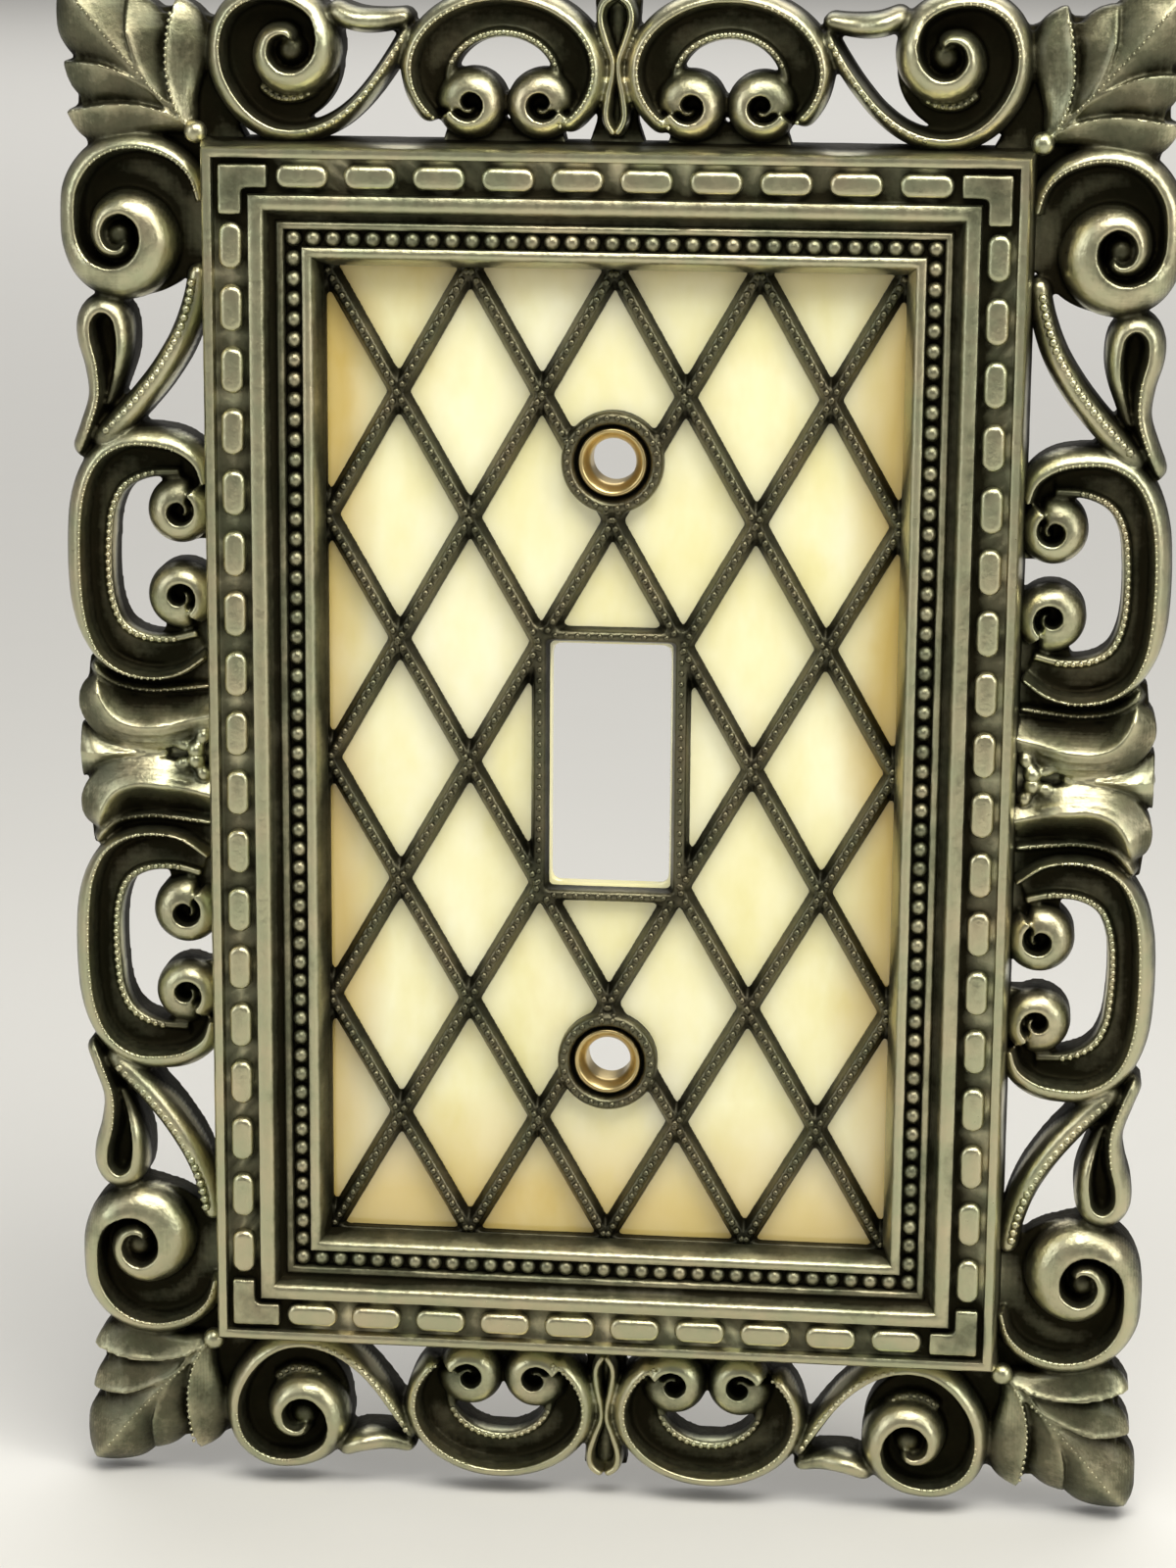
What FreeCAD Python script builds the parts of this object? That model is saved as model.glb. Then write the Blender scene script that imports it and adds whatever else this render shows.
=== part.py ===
import FreeCAD, Part
import math
import os

Vector = FreeCAD.Vector

# Ornamental cover for one toggle switch: a pierced scroll casting round a stepped moulding,
# with a beaded diamond grille over a pearl panel, clamped from behind by a steel plate.
# It is drawn lying on its back: X is the width, Y the height and Z the relief off the wall,
# and it is stood up against the wall, front towards -Y, when it is written out.

# Standard switch interface
screw_spacing = 60.325
screw_hole_radius = 2.2
slot_width = 12.0
slot_height = 24.6

# Moulding, as steps outward from the sight edge and heights off the wall
sight_half_width = 27.9
sight_half_height = 48.7
lip_slope = 0.9
lip_top = 7.0
lip_flat = 0.9
bead_channel = 1.5
bead_channel_floor = 5.9
reed_width = 0.6
cove_run = 1.1
inner_fillet_width = 1.2
pill_band_width = 3.3
pill_band_floor = 6.9
outer_fillet_width = 0.8
outer_slope = 0.8
fillet_top = 8.0
outer_edge_top = 4.2
step_draft = 0.15

# Pills in the band: shorter pitch along the long sides
pill_width = 2.2
pill_height = 0.95
pill_gap = 1.5
pill_count_short = 10
pill_count_long = 18
corner_pill_leg = 4.8
pill_rounding = 0.4

# Stack behind the moulding, from the wall up
plate_recess = 0.7
plate_thickness = 0.8
pearl_thickness = 1.5
grille_thickness = 1.6
seat_clearance = 0.2
rebate_width = 6.0
plate_ledge = 3.5

# Grille
diamond_count_across = 4
diamond_count_up = 4
bar_foot = 2.0
bar_ridge = 0.9
surround_bar_width = 1.9
surround_cross_width = 1.6
collar_radius = 5.0
collar_well_radius = 3.7
collar_rise = 0.4
collar_floor = 0.8

# Screw eyelets
eyelet_wall = 0.5
eyelet_rim_radius = 3.3
eyelet_rim_rise = 0.5
eyelet_cone = 0.5
eyelet_foot_radius = 3.7
eyelet_foot = 0.5
eyelet_clearance = 0.1
pearl_margin = 0.2
plate_margin = 1.0

# Small screws that clamp the plate
fixing_head_radius = 1.7
fixing_head = 0.55
fixing_shank_radius = 0.95
fixing_length = 3.8
fixing_clearance = 0.05
fixing_hole_clearance = 0.15
fixing_tip_room = 0.3
fixing_head_rounding = 0.25
fixing_driver_radius = 0.75
fixing_driver_depth = 0.3

# Heights of the scroll border
border_web = 3.2
border_low = 4.2
border_mid = 4.9
border_high = 5.6

# Long side. Places are (out from the moulding's edge, along the side from its middle).
c_scroll_middle = 20.3
c_scroll_half_length = 11.9
c_scroll_reach = 13.5
c_scroll_band = 4.7
c_scroll_round = 7.6
c_scroll_belly = 0.3
c_scroll_neck = 1.0
c_ridge_inset = 1.7
c_ridge_half = 0.75
c_volute_out = 2.6
c_volute_radius = 3.35
c_volute_half_spacing = 4.25

# Drop and rod hang from the side volute towards the C-scroll
drop_head_out = 9.0
drop_head_radius = 2.5
drop_head_gap = -0.2
drop_tail_out = 10.1
drop_tail_radius = 1.0
drop_length = 6.6
drop_foot_length = 4.2
rod_half = 0.95
rod_rise = 5.2
rod_middle = (4.6, -3.4)

# Leaf that crosses the long side at its middle: outline and ribs of its upper half
leaf_half = 10.0
leaf_reach = 12.6
leaf_outline = [(12.6, 0.0), (11.8, 3.4), (12.1, 6.4), (11.4, 10.0)]
leaf_ribs = [[(-0.5, 5.0), (5.4, 2.3), (11.0, 4.6)], [(-0.5, 9.0), (5.4, 7.4), (11.0, 9.4)]]
leaf_rib_half = 0.7
leaf_tip_radius = 1.4
leaf_root_radius = 1.3

# Side volute, placed from the moulding's corner
side_volute_out = 6.9
side_volute_back = 9.6
side_volute_radius = 7.1
side_volute_sag = 2.4
side_volute_start = 150

# Short side. Places are (along the side from its middle, out from the moulding's edge).
end_volute_back = 7.5
end_volute_out = 7.0
end_volute_radius = 7.3
end_volute_start = -30
tail_root = (-1.5, -0.2)
tail_middle = (-6.6, 2.6)
tail_end_out = 9.6
tail_half = 0.75
small_leaf_out = 10.6
small_leaf_head_radius = 1.3
small_leaf_tip_radius = 0.8
ring_place = 10.6
ring_out = 5.2
ring_radius = 9.3
ring_band = 3.6
ring_band_drop = 0.9
ring_ridge_inset = 1.1
ring_ridge_half = 0.75
ring_ridge_wrap = 20
ring_volute_spacing = 3.4
ring_volute_out = 3.3
ring_volute_radius = 3.45
stem_out = 11.2
stem_radius = 0.9
stem_foot_radius = 1.3

# Snails: how the spiral ridge tightens, and the boss at its eye
volute_ridge_inset = 1.2
volute_ridge_half = 1.1
volute_shrink = 0.8
volute_quarters = 6
volute_eye_radius = 2.1
small_volute_shrink = 0.72
small_volute_quarters = 4
small_volute_ridge_half = 0.6

# Corner leaf: lobes as (out in X, out in Y, radius), from the moulding's corner
corner_root = (0.6, 0.2)
corner_root_radius = 1.3
corner_root_bead = 0.8
corner_lobes = [(10.8, 0.9, 1.9), (10.5, 5.1, 1.9), (10.2, 9.4, 1.8), (11.7, 13.1, 2.3),
                (6.0, 12.2, 1.9), (1.6, 12.0, 1.9)]
corner_rib_half = 0.85
corner_rib_bow = 0.12

quarter_turn = 90

# Worked out from the sizes above
plate_floor = plate_recess
plate_top = plate_floor + plate_thickness
pearl_top = plate_top + pearl_thickness
grille_top = pearl_top + grille_thickness
moulding_width = (lip_slope + lip_flat + bead_channel + reed_width + cove_run + inner_fillet_width
                  + pill_band_width + outer_fillet_width + outer_slope + 6 * step_draft)
edge_x = sight_half_width + moulding_width
edge_y = sight_half_height + moulding_width
band_inner = (lip_slope + lip_flat + bead_channel + reed_width + cove_run + inner_fillet_width
              + 5 * step_draft)
band_middle = band_inner + pill_band_width / 2
overlap = 1.0
screw_places = {"upper": screw_spacing / 2, "lower": -screw_spacing / 2}


def polar(radius, degrees):
    return Vector(radius * math.cos(math.radians(degrees)), radius * math.sin(math.radians(degrees)), 0)


def block(x0, x1, y0, y1, z0, z1):
    return Part.makeBox(x1 - x0, y1 - y0, z1 - z0, Vector(x0, y0, z0))


def centred_block(half_x, half_y, z0, z1):
    return block(-half_x, half_x, -half_y, half_y, z0, z1)


def disc(centre, radius, z0, z1):
    return Part.makeCylinder(radius, z1 - z0, Vector(centre.x, centre.y, z0))


def prism(wire, z0, z1):
    face = Part.Face(wire)
    face.translate(Vector(0, 0, z0))
    return face.extrude(Vector(0, 0, z1 - z0))


def link(first, first_radius, second, second_radius, z0, z1):
    """A flat drop: two round ends joined by their outer tangents."""
    along = second - first
    distance = along.Length
    heading = math.degrees(math.atan2(along.y, along.x))
    spread = math.degrees(math.acos((first_radius - second_radius) / distance))
    a1 = first + polar(first_radius, heading + spread)
    a2 = first - polar(first_radius, heading)
    a3 = first + polar(first_radius, heading - spread)
    b1 = second + polar(second_radius, heading - spread)
    b2 = second + polar(second_radius, heading)
    b3 = second + polar(second_radius, heading + spread)
    wire = Part.Wire([Part.Arc(a1, a2, a3).toShape(), Part.LineSegment(a3, b1).toShape(),
                      Part.Arc(b1, b2, b3).toShape(), Part.LineSegment(b3, a1).toShape()])
    return prism(wire, z0, z1)


def mitred_ring(profile, half_x, half_y):
    """A rectangular frame whose profile, as (step out, height) points, is mitred at four corners."""
    corners = [(-1, -1), (1, -1), (1, 1), (-1, 1)]
    rows = [[Vector(sx * (half_x + out), sy * (half_y + out), z) for out, z in profile]
            for sx, sy in corners]
    faces = []
    for side in range(4):
        here = rows[side]
        there = rows[(side + 1) % 4]
        for i in range(len(profile)):
            j = (i + 1) % len(profile)
            faces.append(Part.Face(Part.makePolygon([here[i], there[i], there[j], here[j], here[i]])))
    ring = Part.Solid(Part.Shell(faces))
    if ring.Volume < 0:
        ring.reverse()
    return ring


def spiral(eye, first_radius, shrink, quarters, start, turn):
    """Quarter arcs that shrink one after the other, tangent all the way, ending round the eye."""
    centre = Vector(0, 0, 0)
    radius = first_radius
    angle = start
    arcs = []
    for quarter in range(quarters):
        arcs.append([centre + polar(radius, angle + turn * step) for step in (0, quarter_turn / 2, quarter_turn)])
        angle += turn * quarter_turn
        centre = centre + polar(radius * (1 - shrink), angle)
        radius *= shrink
    shift = eye - centre
    return Part.Wire([Part.Arc(*[point + shift for point in arc]).toShape() for arc in arcs])


def arc_path(start, through, end):
    return Part.Wire([Part.Arc(start, through, end).toShape()])


def ridge(path, half_width, top):
    """A bar with upright sides and a half-round top, swept flat along a path of arcs."""
    edge = path.Edges[0]
    start = edge.valueAt(edge.FirstParameter)
    tangent = edge.tangentAt(edge.FirstParameter)
    across = Vector(-tangent.y, tangent.x, 0).normalize() * half_width
    up = Vector(0, 0, top - half_width)
    foot_a = start - across
    foot_b = start + across
    shoulder_a = foot_a + up
    shoulder_b = foot_b + up
    crown = start + Vector(0, 0, top)
    section = Part.Wire([Part.LineSegment(foot_a, foot_b).toShape(),
                         Part.LineSegment(foot_b, shoulder_b).toShape(),
                         Part.Arc(shoulder_b, crown, shoulder_a).toShape(),
                         Part.LineSegment(shoulder_a, foot_a).toShape()])
    bar = path.makePipeShell([section], True, False)
    if bar.Volume < 0:
        bar.reverse()
    return bar


def dome(centre, radius, floor, height):
    """A round boss with a spherical cap of the given height above its floor."""
    sphere_radius = (radius ** 2 + height ** 2) / (2 * height)
    ball = Part.makeSphere(sphere_radius, Vector(centre.x, centre.y, floor + height - sphere_radius))
    return ball.common(disc(centre, radius, 0, floor + height + overlap)).fuse(disc(centre, radius, 0, floor))


def mirror_x(shape):
    return shape.mirror(Vector(0, 0, 0), Vector(1, 0, 0))


def mirror_y(shape):
    return shape.mirror(Vector(0, 0, 0), Vector(0, 1, 0))


def joined(shapes):
    return shapes[0].multiFuse(shapes[1:]).removeSplitter()


# Moulding

def moulding_profile():
    out = 0.0
    points = [(0.0, grille_top), (lip_slope, lip_top - step_draft)]
    out += lip_slope + step_draft
    points.append((out, lip_top))
    out += lip_flat - step_draft
    points.append((out, lip_top))
    out += step_draft
    points.append((out, bead_channel_floor))
    out += bead_channel
    points.append((out, bead_channel_floor))
    out += step_draft
    points.append((out, lip_top))
    out += reed_width
    points.append((out, lip_top))
    out += step_draft
    points.append((out, lip_top - 2 * step_draft))
    out += cove_run
    points.append((out, fillet_top - 2 * step_draft))
    out += step_draft
    points.append((out, fillet_top))
    out += inner_fillet_width
    points.append((out, fillet_top))
    out += step_draft
    points.append((out, pill_band_floor))
    out += pill_band_width
    points.append((out, pill_band_floor))
    out += step_draft
    points.append((out, fillet_top))
    out += outer_fillet_width
    points.append((out, fillet_top))
    points.append((moulding_width, outer_edge_top))
    points.append((moulding_width, 0.0))
    points.append((rebate_width + plate_ledge, 0.0))
    points.append((rebate_width + plate_ledge, plate_top))
    points.append((rebate_width, plate_top))
    points.append((rebate_width, grille_top))
    return points


def pill(length):
    """One stadium-shaped pill along X, rounded over at its top edge."""
    half = length / 2 - pill_width / 2
    body = link(Vector(-half, 0, 0), pill_width / 2, Vector(half, 0, 0), pill_width / 2,
                pill_band_floor - overlap, pill_band_floor + pill_height)
    top_edges = [edge for edge in body.Edges
                 if edge.BoundBox.ZMin > pill_band_floor + pill_height / 2]
    return body.makeFillet(pill_rounding, top_edges)


def corner_pill():
    """An L-shaped pill at the mitre, drawn in the corner where X and Y are both positive."""
    corner_x = sight_half_width + band_middle
    corner_y = sight_half_height + band_middle
    half = pill_width / 2
    leg = corner_pill_leg - half
    bodies = [
        block(corner_x - leg, corner_x + half, corner_y - half, corner_y + half,
              pill_band_floor - overlap, pill_band_floor + pill_height),
        block(corner_x - half, corner_x + half, corner_y - leg, corner_y + half,
              pill_band_floor - overlap, pill_band_floor + pill_height)]
    body = joined(bodies)
    return body.makeChamfer(pill_rounding, [edge for edge in body.Edges
                                            if edge.BoundBox.ZMin > pill_band_floor + pill_height / 2])


def pill_row(count, reach, place):
    """Pills along X from -reach to +reach, at the given Y."""
    pitch = 2 * reach / count
    first = -reach + pitch / 2
    one = pill(pitch - pill_gap)
    return [one.translated(Vector(first + pitch * i, place, 0)) for i in range(count)]


def pills():
    reach_x = sight_half_width + band_middle - corner_pill_leg + pill_width / 2
    reach_y = sight_half_height + band_middle - corner_pill_leg + pill_width / 2
    short = pill_row(pill_count_short, reach_x, sight_half_height + band_middle)
    long_row = pill_row(pill_count_long, reach_y, -sight_half_width - band_middle)
    turned = [one.rotated(Vector(0, 0, 0), Vector(0, 0, 1), quarter_turn) for one in long_row]
    corner = corner_pill()
    corners = [corner, mirror_x(corner), mirror_y(corner), mirror_x(mirror_y(corner))]
    return short + [mirror_y(one) for one in short] + turned + [mirror_x(one) for one in turned] + corners


# Scroll border, one quarter at a time

def side_point(place):
    """A place on the long side: out from the moulding's edge, and along from the middle."""
    return Vector(edge_x + place[0], place[1], 0)


def corner_point(place):
    """A place measured out from the moulding's corner."""
    return Vector(edge_x + place[0], edge_y + place[1], 0)


def small_volute(eye, radius, start, turn):
    path = spiral(eye, radius - small_volute_ridge_half, small_volute_shrink,
                  small_volute_quarters, start, turn)
    return [disc(eye, radius, 0, border_web), ridge(path, small_volute_ridge_half, border_mid)]


def volute(eye, radius, start, turn):
    """A snail: a web disc, a broad spiral ridge that winds in, and a domed eye."""
    path = spiral(eye, radius - volute_ridge_inset, volute_shrink, volute_quarters, start, turn)
    return [disc(eye, radius, 0, border_low), ridge(path, volute_ridge_half, border_high),
            dome(eye, volute_eye_radius, border_low, border_mid - border_low)]


def c_outline(inset, belly):
    """The C's outline at an inset: neck, shoulder, long bellied back, shoulder, neck."""
    right = edge_x + c_scroll_reach - inset
    top = c_scroll_middle + c_scroll_half_length - inset
    bottom = c_scroll_middle - c_scroll_half_length + inset
    bend = c_scroll_round - inset
    upper_centre = Vector(right - bend, top - bend, 0)
    lower_centre = Vector(right - bend, bottom + bend, 0)
    start = Vector(edge_x - overlap, top - c_scroll_neck, 0)
    end = Vector(edge_x - overlap, bottom + c_scroll_neck, 0)
    upper_out = upper_centre + polar(bend, 0)
    lower_out = lower_centre + polar(bend, 0)
    upper_in = upper_centre + polar(bend, quarter_turn)
    lower_in = lower_centre + polar(bend, -quarter_turn)
    back = Vector(right + belly, c_scroll_middle, 0)
    return [Part.LineSegment(start, upper_in).toShape(),
            Part.Arc(upper_in, upper_centre + polar(bend, quarter_turn / 2), upper_out).toShape(),
            Part.Arc(upper_out, back, lower_out).toShape(),
            Part.Arc(lower_out, lower_centre + polar(bend, -quarter_turn / 2), lower_in).toShape(),
            Part.LineSegment(lower_in, end).toShape()]


def closed(edges):
    first = edges[0].valueAt(edges[0].FirstParameter)
    last = edges[-1].valueAt(edges[-1].LastParameter)
    return Part.Wire(edges + [Part.LineSegment(last, first).toShape()])


def c_scroll():
    """The long C that hugs the middle of each long side, curled in at both ends."""
    web = prism(closed(c_outline(0.0, c_scroll_belly)), 0, border_low)
    hole = prism(closed(c_outline(c_scroll_band, c_scroll_belly)), -overlap, border_high)
    crest = ridge(Part.Wire(c_outline(c_ridge_inset, c_scroll_belly)[1:4]), c_ridge_half, border_high)
    shapes = [web.cut(hole), crest]
    for turn in (1, -1):
        eye = side_point((c_volute_out, c_scroll_middle + turn * c_volute_half_spacing))
        shapes += small_volute(eye, c_volute_radius, quarter_turn * turn, turn)
    return shapes


def side_volute():
    eye = corner_point((side_volute_out, -side_volute_back))
    skirt = disc(eye + Vector(0, side_volute_sag, 0), side_volute_radius, 0, border_low)
    return volute(eye, side_volute_radius, side_volute_start, -1) + [skirt]


def drop_and_rod():
    """A drop with its head against the side volute, and the rod that runs back to the moulding."""
    head_along = edge_y - side_volute_back - side_volute_radius - drop_head_radius - drop_head_gap
    head = side_point((drop_head_out, head_along))
    tail = side_point((drop_tail_out, head_along - drop_length))
    foot = side_point((drop_tail_out, head_along - drop_length - drop_foot_length))
    rod_start = (tail + foot) / 2
    rod_middle_point = side_point((rod_middle[0], head_along + rod_middle[1]))
    rod_end = side_point((0, head_along + rod_rise))
    return [link(head, drop_head_radius, tail, drop_tail_radius, 0, border_mid),
            link(tail, drop_tail_radius, foot, drop_tail_radius, 0, border_mid),
            ridge(arc_path(rod_start, rod_middle_point, rod_end), rod_half, border_mid)]


def crossing_leaf():
    """Upper half of the leaf that crosses each long side at its middle."""
    tip = side_point((leaf_reach, 0))
    outline = [side_point((-overlap, 0))] + [side_point(place) for place in leaf_outline]
    outline += [side_point((-overlap, leaf_half)), outline[0]]
    web = prism(Part.makePolygon(outline), 0, border_web)
    ribs = [ridge(arc_path(*[side_point(place) for place in rib]), leaf_rib_half, border_mid)
            for rib in leaf_ribs]
    spine = link(side_point((0, 0)), leaf_root_radius, tip, leaf_tip_radius, 0, border_mid)
    upper_side = block(edge_x - overlap, tip.x + 2 * leaf_tip_radius, 0, leaf_half, 0, border_high)
    return [web, spine.common(upper_side)] + ribs


def corner_leaf():
    """Acanthus leaf whose ribbed lobes fan out from the moulding's corner."""
    root = corner_point(corner_root)
    tips = [corner_point(lobe) for lobe in corner_lobes]
    shapes = [prism(Part.makePolygon([root] + tips + [root]), 0, border_web),
              dome(root, corner_root_radius, border_mid, corner_root_bead)]
    for tip, lobe in zip(tips, corner_lobes):
        along = tip - root
        bow = Vector(-along.y, along.x, 0) * (corner_rib_bow * (1 if lobe[0] < lobe[1] else -1))
        shapes.append(link(root, corner_root_radius, tip, lobe[2], 0, border_low))
        shapes.append(ridge(arc_path(root, root + along / 2 + bow, tip), corner_rib_half, border_high))
    return shapes


def ring_edge(out):
    """The ring scroll's outer side at a height above the moulding's edge."""
    return Vector(ring_place + math.sqrt(ring_radius ** 2 - (out - ring_out) ** 2), edge_y + out, 0)


def end_volute():
    eye = Vector(edge_x - end_volute_back, edge_y + end_volute_out, 0)
    root = eye + Vector(tail_root[0], tail_root[1] - end_volute_out, 0)
    middle = eye + Vector(tail_middle[0], tail_middle[1] - end_volute_out, 0)
    tail = ridge(arc_path(root, middle, ring_edge(tail_end_out)), tail_half, border_mid)
    leaf = link(Vector(eye.x - end_volute_radius + small_leaf_head_radius, edge_y + small_leaf_out, 0),
                small_leaf_head_radius, ring_edge(small_leaf_out), small_leaf_tip_radius, 0, border_low)
    return volute(eye, end_volute_radius, end_volute_start, 1) + [tail, leaf]


def ring_scroll():
    centre = Vector(ring_place, edge_y + ring_out, 0)
    inner = Vector(ring_place, edge_y + ring_out - ring_band_drop, 0)
    band = disc(centre, ring_radius, 0, border_low).cut(
        disc(inner, ring_radius - ring_band, -overlap, border_high))
    crest_radius = ring_radius - ring_ridge_inset
    crest = ridge(arc_path(centre + polar(crest_radius, -ring_ridge_wrap),
                           centre + polar(crest_radius, quarter_turn),
                           centre + polar(crest_radius, 180 + ring_ridge_wrap)),
                  ring_ridge_half, border_high)
    shapes = [band, crest]
    for turn in (1, -1):
        eye = Vector(ring_place + turn * ring_volute_spacing, edge_y + ring_volute_out, 0)
        shapes += small_volute(eye, ring_volute_radius, quarter_turn * (1 - turn), turn)
    return shapes


def middle_stem():
    """Right half of the stem between the two ring scrolls."""
    foot = Vector(0, edge_y + stem_out, 0)
    whole = link(Vector(0, edge_y - overlap, 0), stem_radius, foot, stem_foot_radius, 0, border_mid)
    right_side = block(0, 2 * stem_foot_radius, edge_y - 2 * overlap, foot.y + 2 * stem_foot_radius,
                       0, border_high)
    return [whole.common(right_side)]


def quarter_border():
    shapes = (c_scroll() + side_volute() + drop_and_rod() + crossing_leaf() + corner_leaf()
              + end_volute() + ring_scroll() + middle_stem())
    inside = block(-overlap, edge_x - outer_slope, -overlap, edge_y - outer_slope, -overlap, fillet_top)
    return joined(shapes).cut(inside)


def fixing_places():
    reach = rebate_width + plate_ledge / 2
    return [(name_y + "_" + name_x, Vector(sx * (sight_half_width + reach), sy * (sight_half_height + reach), 0))
            for name_y, sy in (("upper", 1), ("lower", -1)) for name_x, sx in (("left", -1), ("right", 1))]


def cast_scroll_frame():
    quarter = quarter_border()
    quarters = [quarter, mirror_x(quarter), mirror_y(quarter), mirror_x(mirror_y(quarter))]
    moulding = mitred_ring(moulding_profile(), sight_half_width, sight_half_height)
    frame = joined([moulding] + quarters)
    frame = joined([frame] + pills())
    pilot = fixing_shank_radius + fixing_clearance
    holes = [disc(place, pilot, plate_floor, plate_floor + fixing_length + fixing_tip_room)
             for name, place in fixing_places()]
    return frame.cut(Part.makeCompound(holes))


# Grille, pearl panel and plate

def bar(start, end, foot, crest):
    """A grille bar of trapezoid section between two points."""
    along = (end - start).normalize()
    across = Vector(-along.y, along.x, 0)
    low = Vector(0, 0, pearl_top)
    high = Vector(0, 0, grille_top)
    corners = [start - across * (foot / 2) + low, start + across * (foot / 2) + low,
               start + across * (crest / 2) + high, start - across * (crest / 2) + high]
    section = Part.Face(Part.makePolygon(corners + [corners[0]]))
    return section.extrude(end - start)


def lattice_bars():
    pitch_x = 2 * sight_half_width / diamond_count_across
    pitch_y = 2 * sight_half_height / diamond_count_up
    reach = max(diamond_count_across, diamond_count_up)
    bars = []
    for line in range(-reach + 1, reach):
        for lean in (1, -1):
            start = Vector((line - reach) * pitch_x / 2, -lean * (line + reach) * pitch_y / 2, 0)
            end = Vector((line + reach) * pitch_x / 2, -lean * (line - reach) * pitch_y / 2, 0)
            bars.append(bar(start, end, bar_foot, bar_ridge))
    return bars


def lattice_grille():
    outer_x = sight_half_width + rebate_width - seat_clearance
    outer_y = sight_half_height + rebate_width - seat_clearance
    blank = centred_block(outer_x, outer_y, pearl_top, grille_top)
    rim = blank.cut(centred_block(sight_half_width, sight_half_height,
                                  pearl_top - overlap, grille_top + overlap))
    bars = joined(lattice_bars()).common(centred_block(sight_half_width + overlap,
                                                       sight_half_height + overlap,
                                                       pearl_top, grille_top))
    surround_x = slot_width / 2 + surround_bar_width
    surround_y = slot_height / 2 + surround_cross_width
    surround = centred_block(surround_x, surround_y, pearl_top, grille_top)
    collars = [disc(Vector(0, y, 0), collar_radius, pearl_top, grille_top + collar_rise)
               for y in screw_places.values()]
    grille = joined([rim, bars, surround] + collars)
    slot = centred_block(slot_width / 2, slot_height / 2, 0, grille_top + overlap)
    wells = []
    for y in screw_places.values():
        wells.append(disc(Vector(0, y, 0), collar_well_radius, pearl_top + collar_floor,
                          grille_top + collar_rise + overlap))
        wells.append(disc(Vector(0, y, 0), screw_hole_radius + eyelet_wall + eyelet_clearance,
                          0, grille_top))
    return grille.cut(Part.makeCompound([slot] + wells))


def pearl_panel():
    panel = centred_block(sight_half_width + rebate_width - seat_clearance,
                          sight_half_height + rebate_width - seat_clearance, plate_top, pearl_top)
    cuts = [centred_block(slot_width / 2 - pearl_margin, slot_height / 2 - pearl_margin,
                          0, grille_top)]
    cuts += [disc(Vector(0, y, 0), screw_hole_radius + eyelet_wall + eyelet_clearance, 0, grille_top)
             for y in screw_places.values()]
    return panel.cut(Part.makeCompound(cuts))


def backing_plate():
    reach = rebate_width + plate_ledge - seat_clearance
    plate = centred_block(sight_half_width + reach, sight_half_height + reach, plate_floor, plate_top)
    cuts = [centred_block(slot_width / 2 + plate_margin, slot_height / 2 + plate_margin,
                          0, grille_top)]
    cuts += [disc(Vector(0, y, 0), screw_hole_radius + eyelet_wall + eyelet_clearance, 0, grille_top)
             for y in screw_places.values()]
    cuts += [disc(place, fixing_shank_radius + fixing_hole_clearance, 0, grille_top)
             for name, place in fixing_places()]
    return plate.cut(Part.makeCompound(cuts))


def screw_eyelet(y):
    """A turned brass eyelet: dished rim in the collar's well, barrel, and foot rolled on the plate."""
    bore = screw_hole_radius
    barrel = bore + eyelet_wall
    foot_floor = plate_floor - eyelet_foot
    rim_floor = pearl_top + collar_floor
    rim_top = rim_floor + eyelet_rim_rise
    outline = [Vector(bore, 0, foot_floor), Vector(eyelet_foot_radius, 0, foot_floor),
               Vector(eyelet_foot_radius, 0, plate_floor), Vector(barrel, 0, plate_floor),
               Vector(barrel, 0, rim_floor), Vector(eyelet_rim_radius, 0, rim_floor),
               Vector(eyelet_rim_radius, 0, rim_top), Vector(bore + eyelet_cone, 0, rim_top),
               Vector(bore, 0, rim_top - eyelet_cone), Vector(bore, 0, foot_floor)]
    turned = Part.Face(Part.makePolygon(outline)).revolve(Vector(0, 0, 0), Vector(0, 0, 1), 360)
    return turned.translated(Vector(0, y, 0))


def plate_screw(place):
    """A small pan-head screw driven from behind through the plate into the casting."""
    head = disc(place, fixing_head_radius, plate_floor - fixing_head, plate_floor)
    head = head.makeFillet(fixing_head_rounding, [edge for edge in head.Edges
                                                if edge.BoundBox.ZMax < plate_floor - fixing_head / 2])
    shank = disc(place, fixing_shank_radius, plate_floor, plate_floor + fixing_length)
    driver = disc(place, fixing_driver_radius, plate_floor - fixing_head - overlap,
                  plate_floor - fixing_head + fixing_driver_depth)
    return head.fuse(shank).cut(driver).removeSplitter()


def stand_up(shape):
    """Turn the piece from lying on its back to standing against the wall, front to -Y."""
    return shape.rotated(Vector(0, 0, 0), Vector(1, 0, 0), quarter_turn)


def write(name, shape):
    solid = stand_up(shape)
    print(name, "solids", len(solid.Solids), "valid", solid.isValid(), "volume", round(solid.Volume, 1))
    solid.exportStep("parts/" + name + ".step")


os.makedirs("parts", exist_ok=True)
write("cast_scroll_frame", cast_scroll_frame())
write("lattice_grille", lattice_grille())
write("pearl_panel", pearl_panel())
write("backing_plate", backing_plate())
for level, height in screw_places.items():
    write(level + "_screw_eyelet", screw_eyelet(height))
for corner, corner_place in fixing_places():
    write(corner + "_plate_screw", plate_screw(corner_place))
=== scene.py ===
import bpy
import math
import numpy as np
from mathutils import Matrix, Vector


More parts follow.
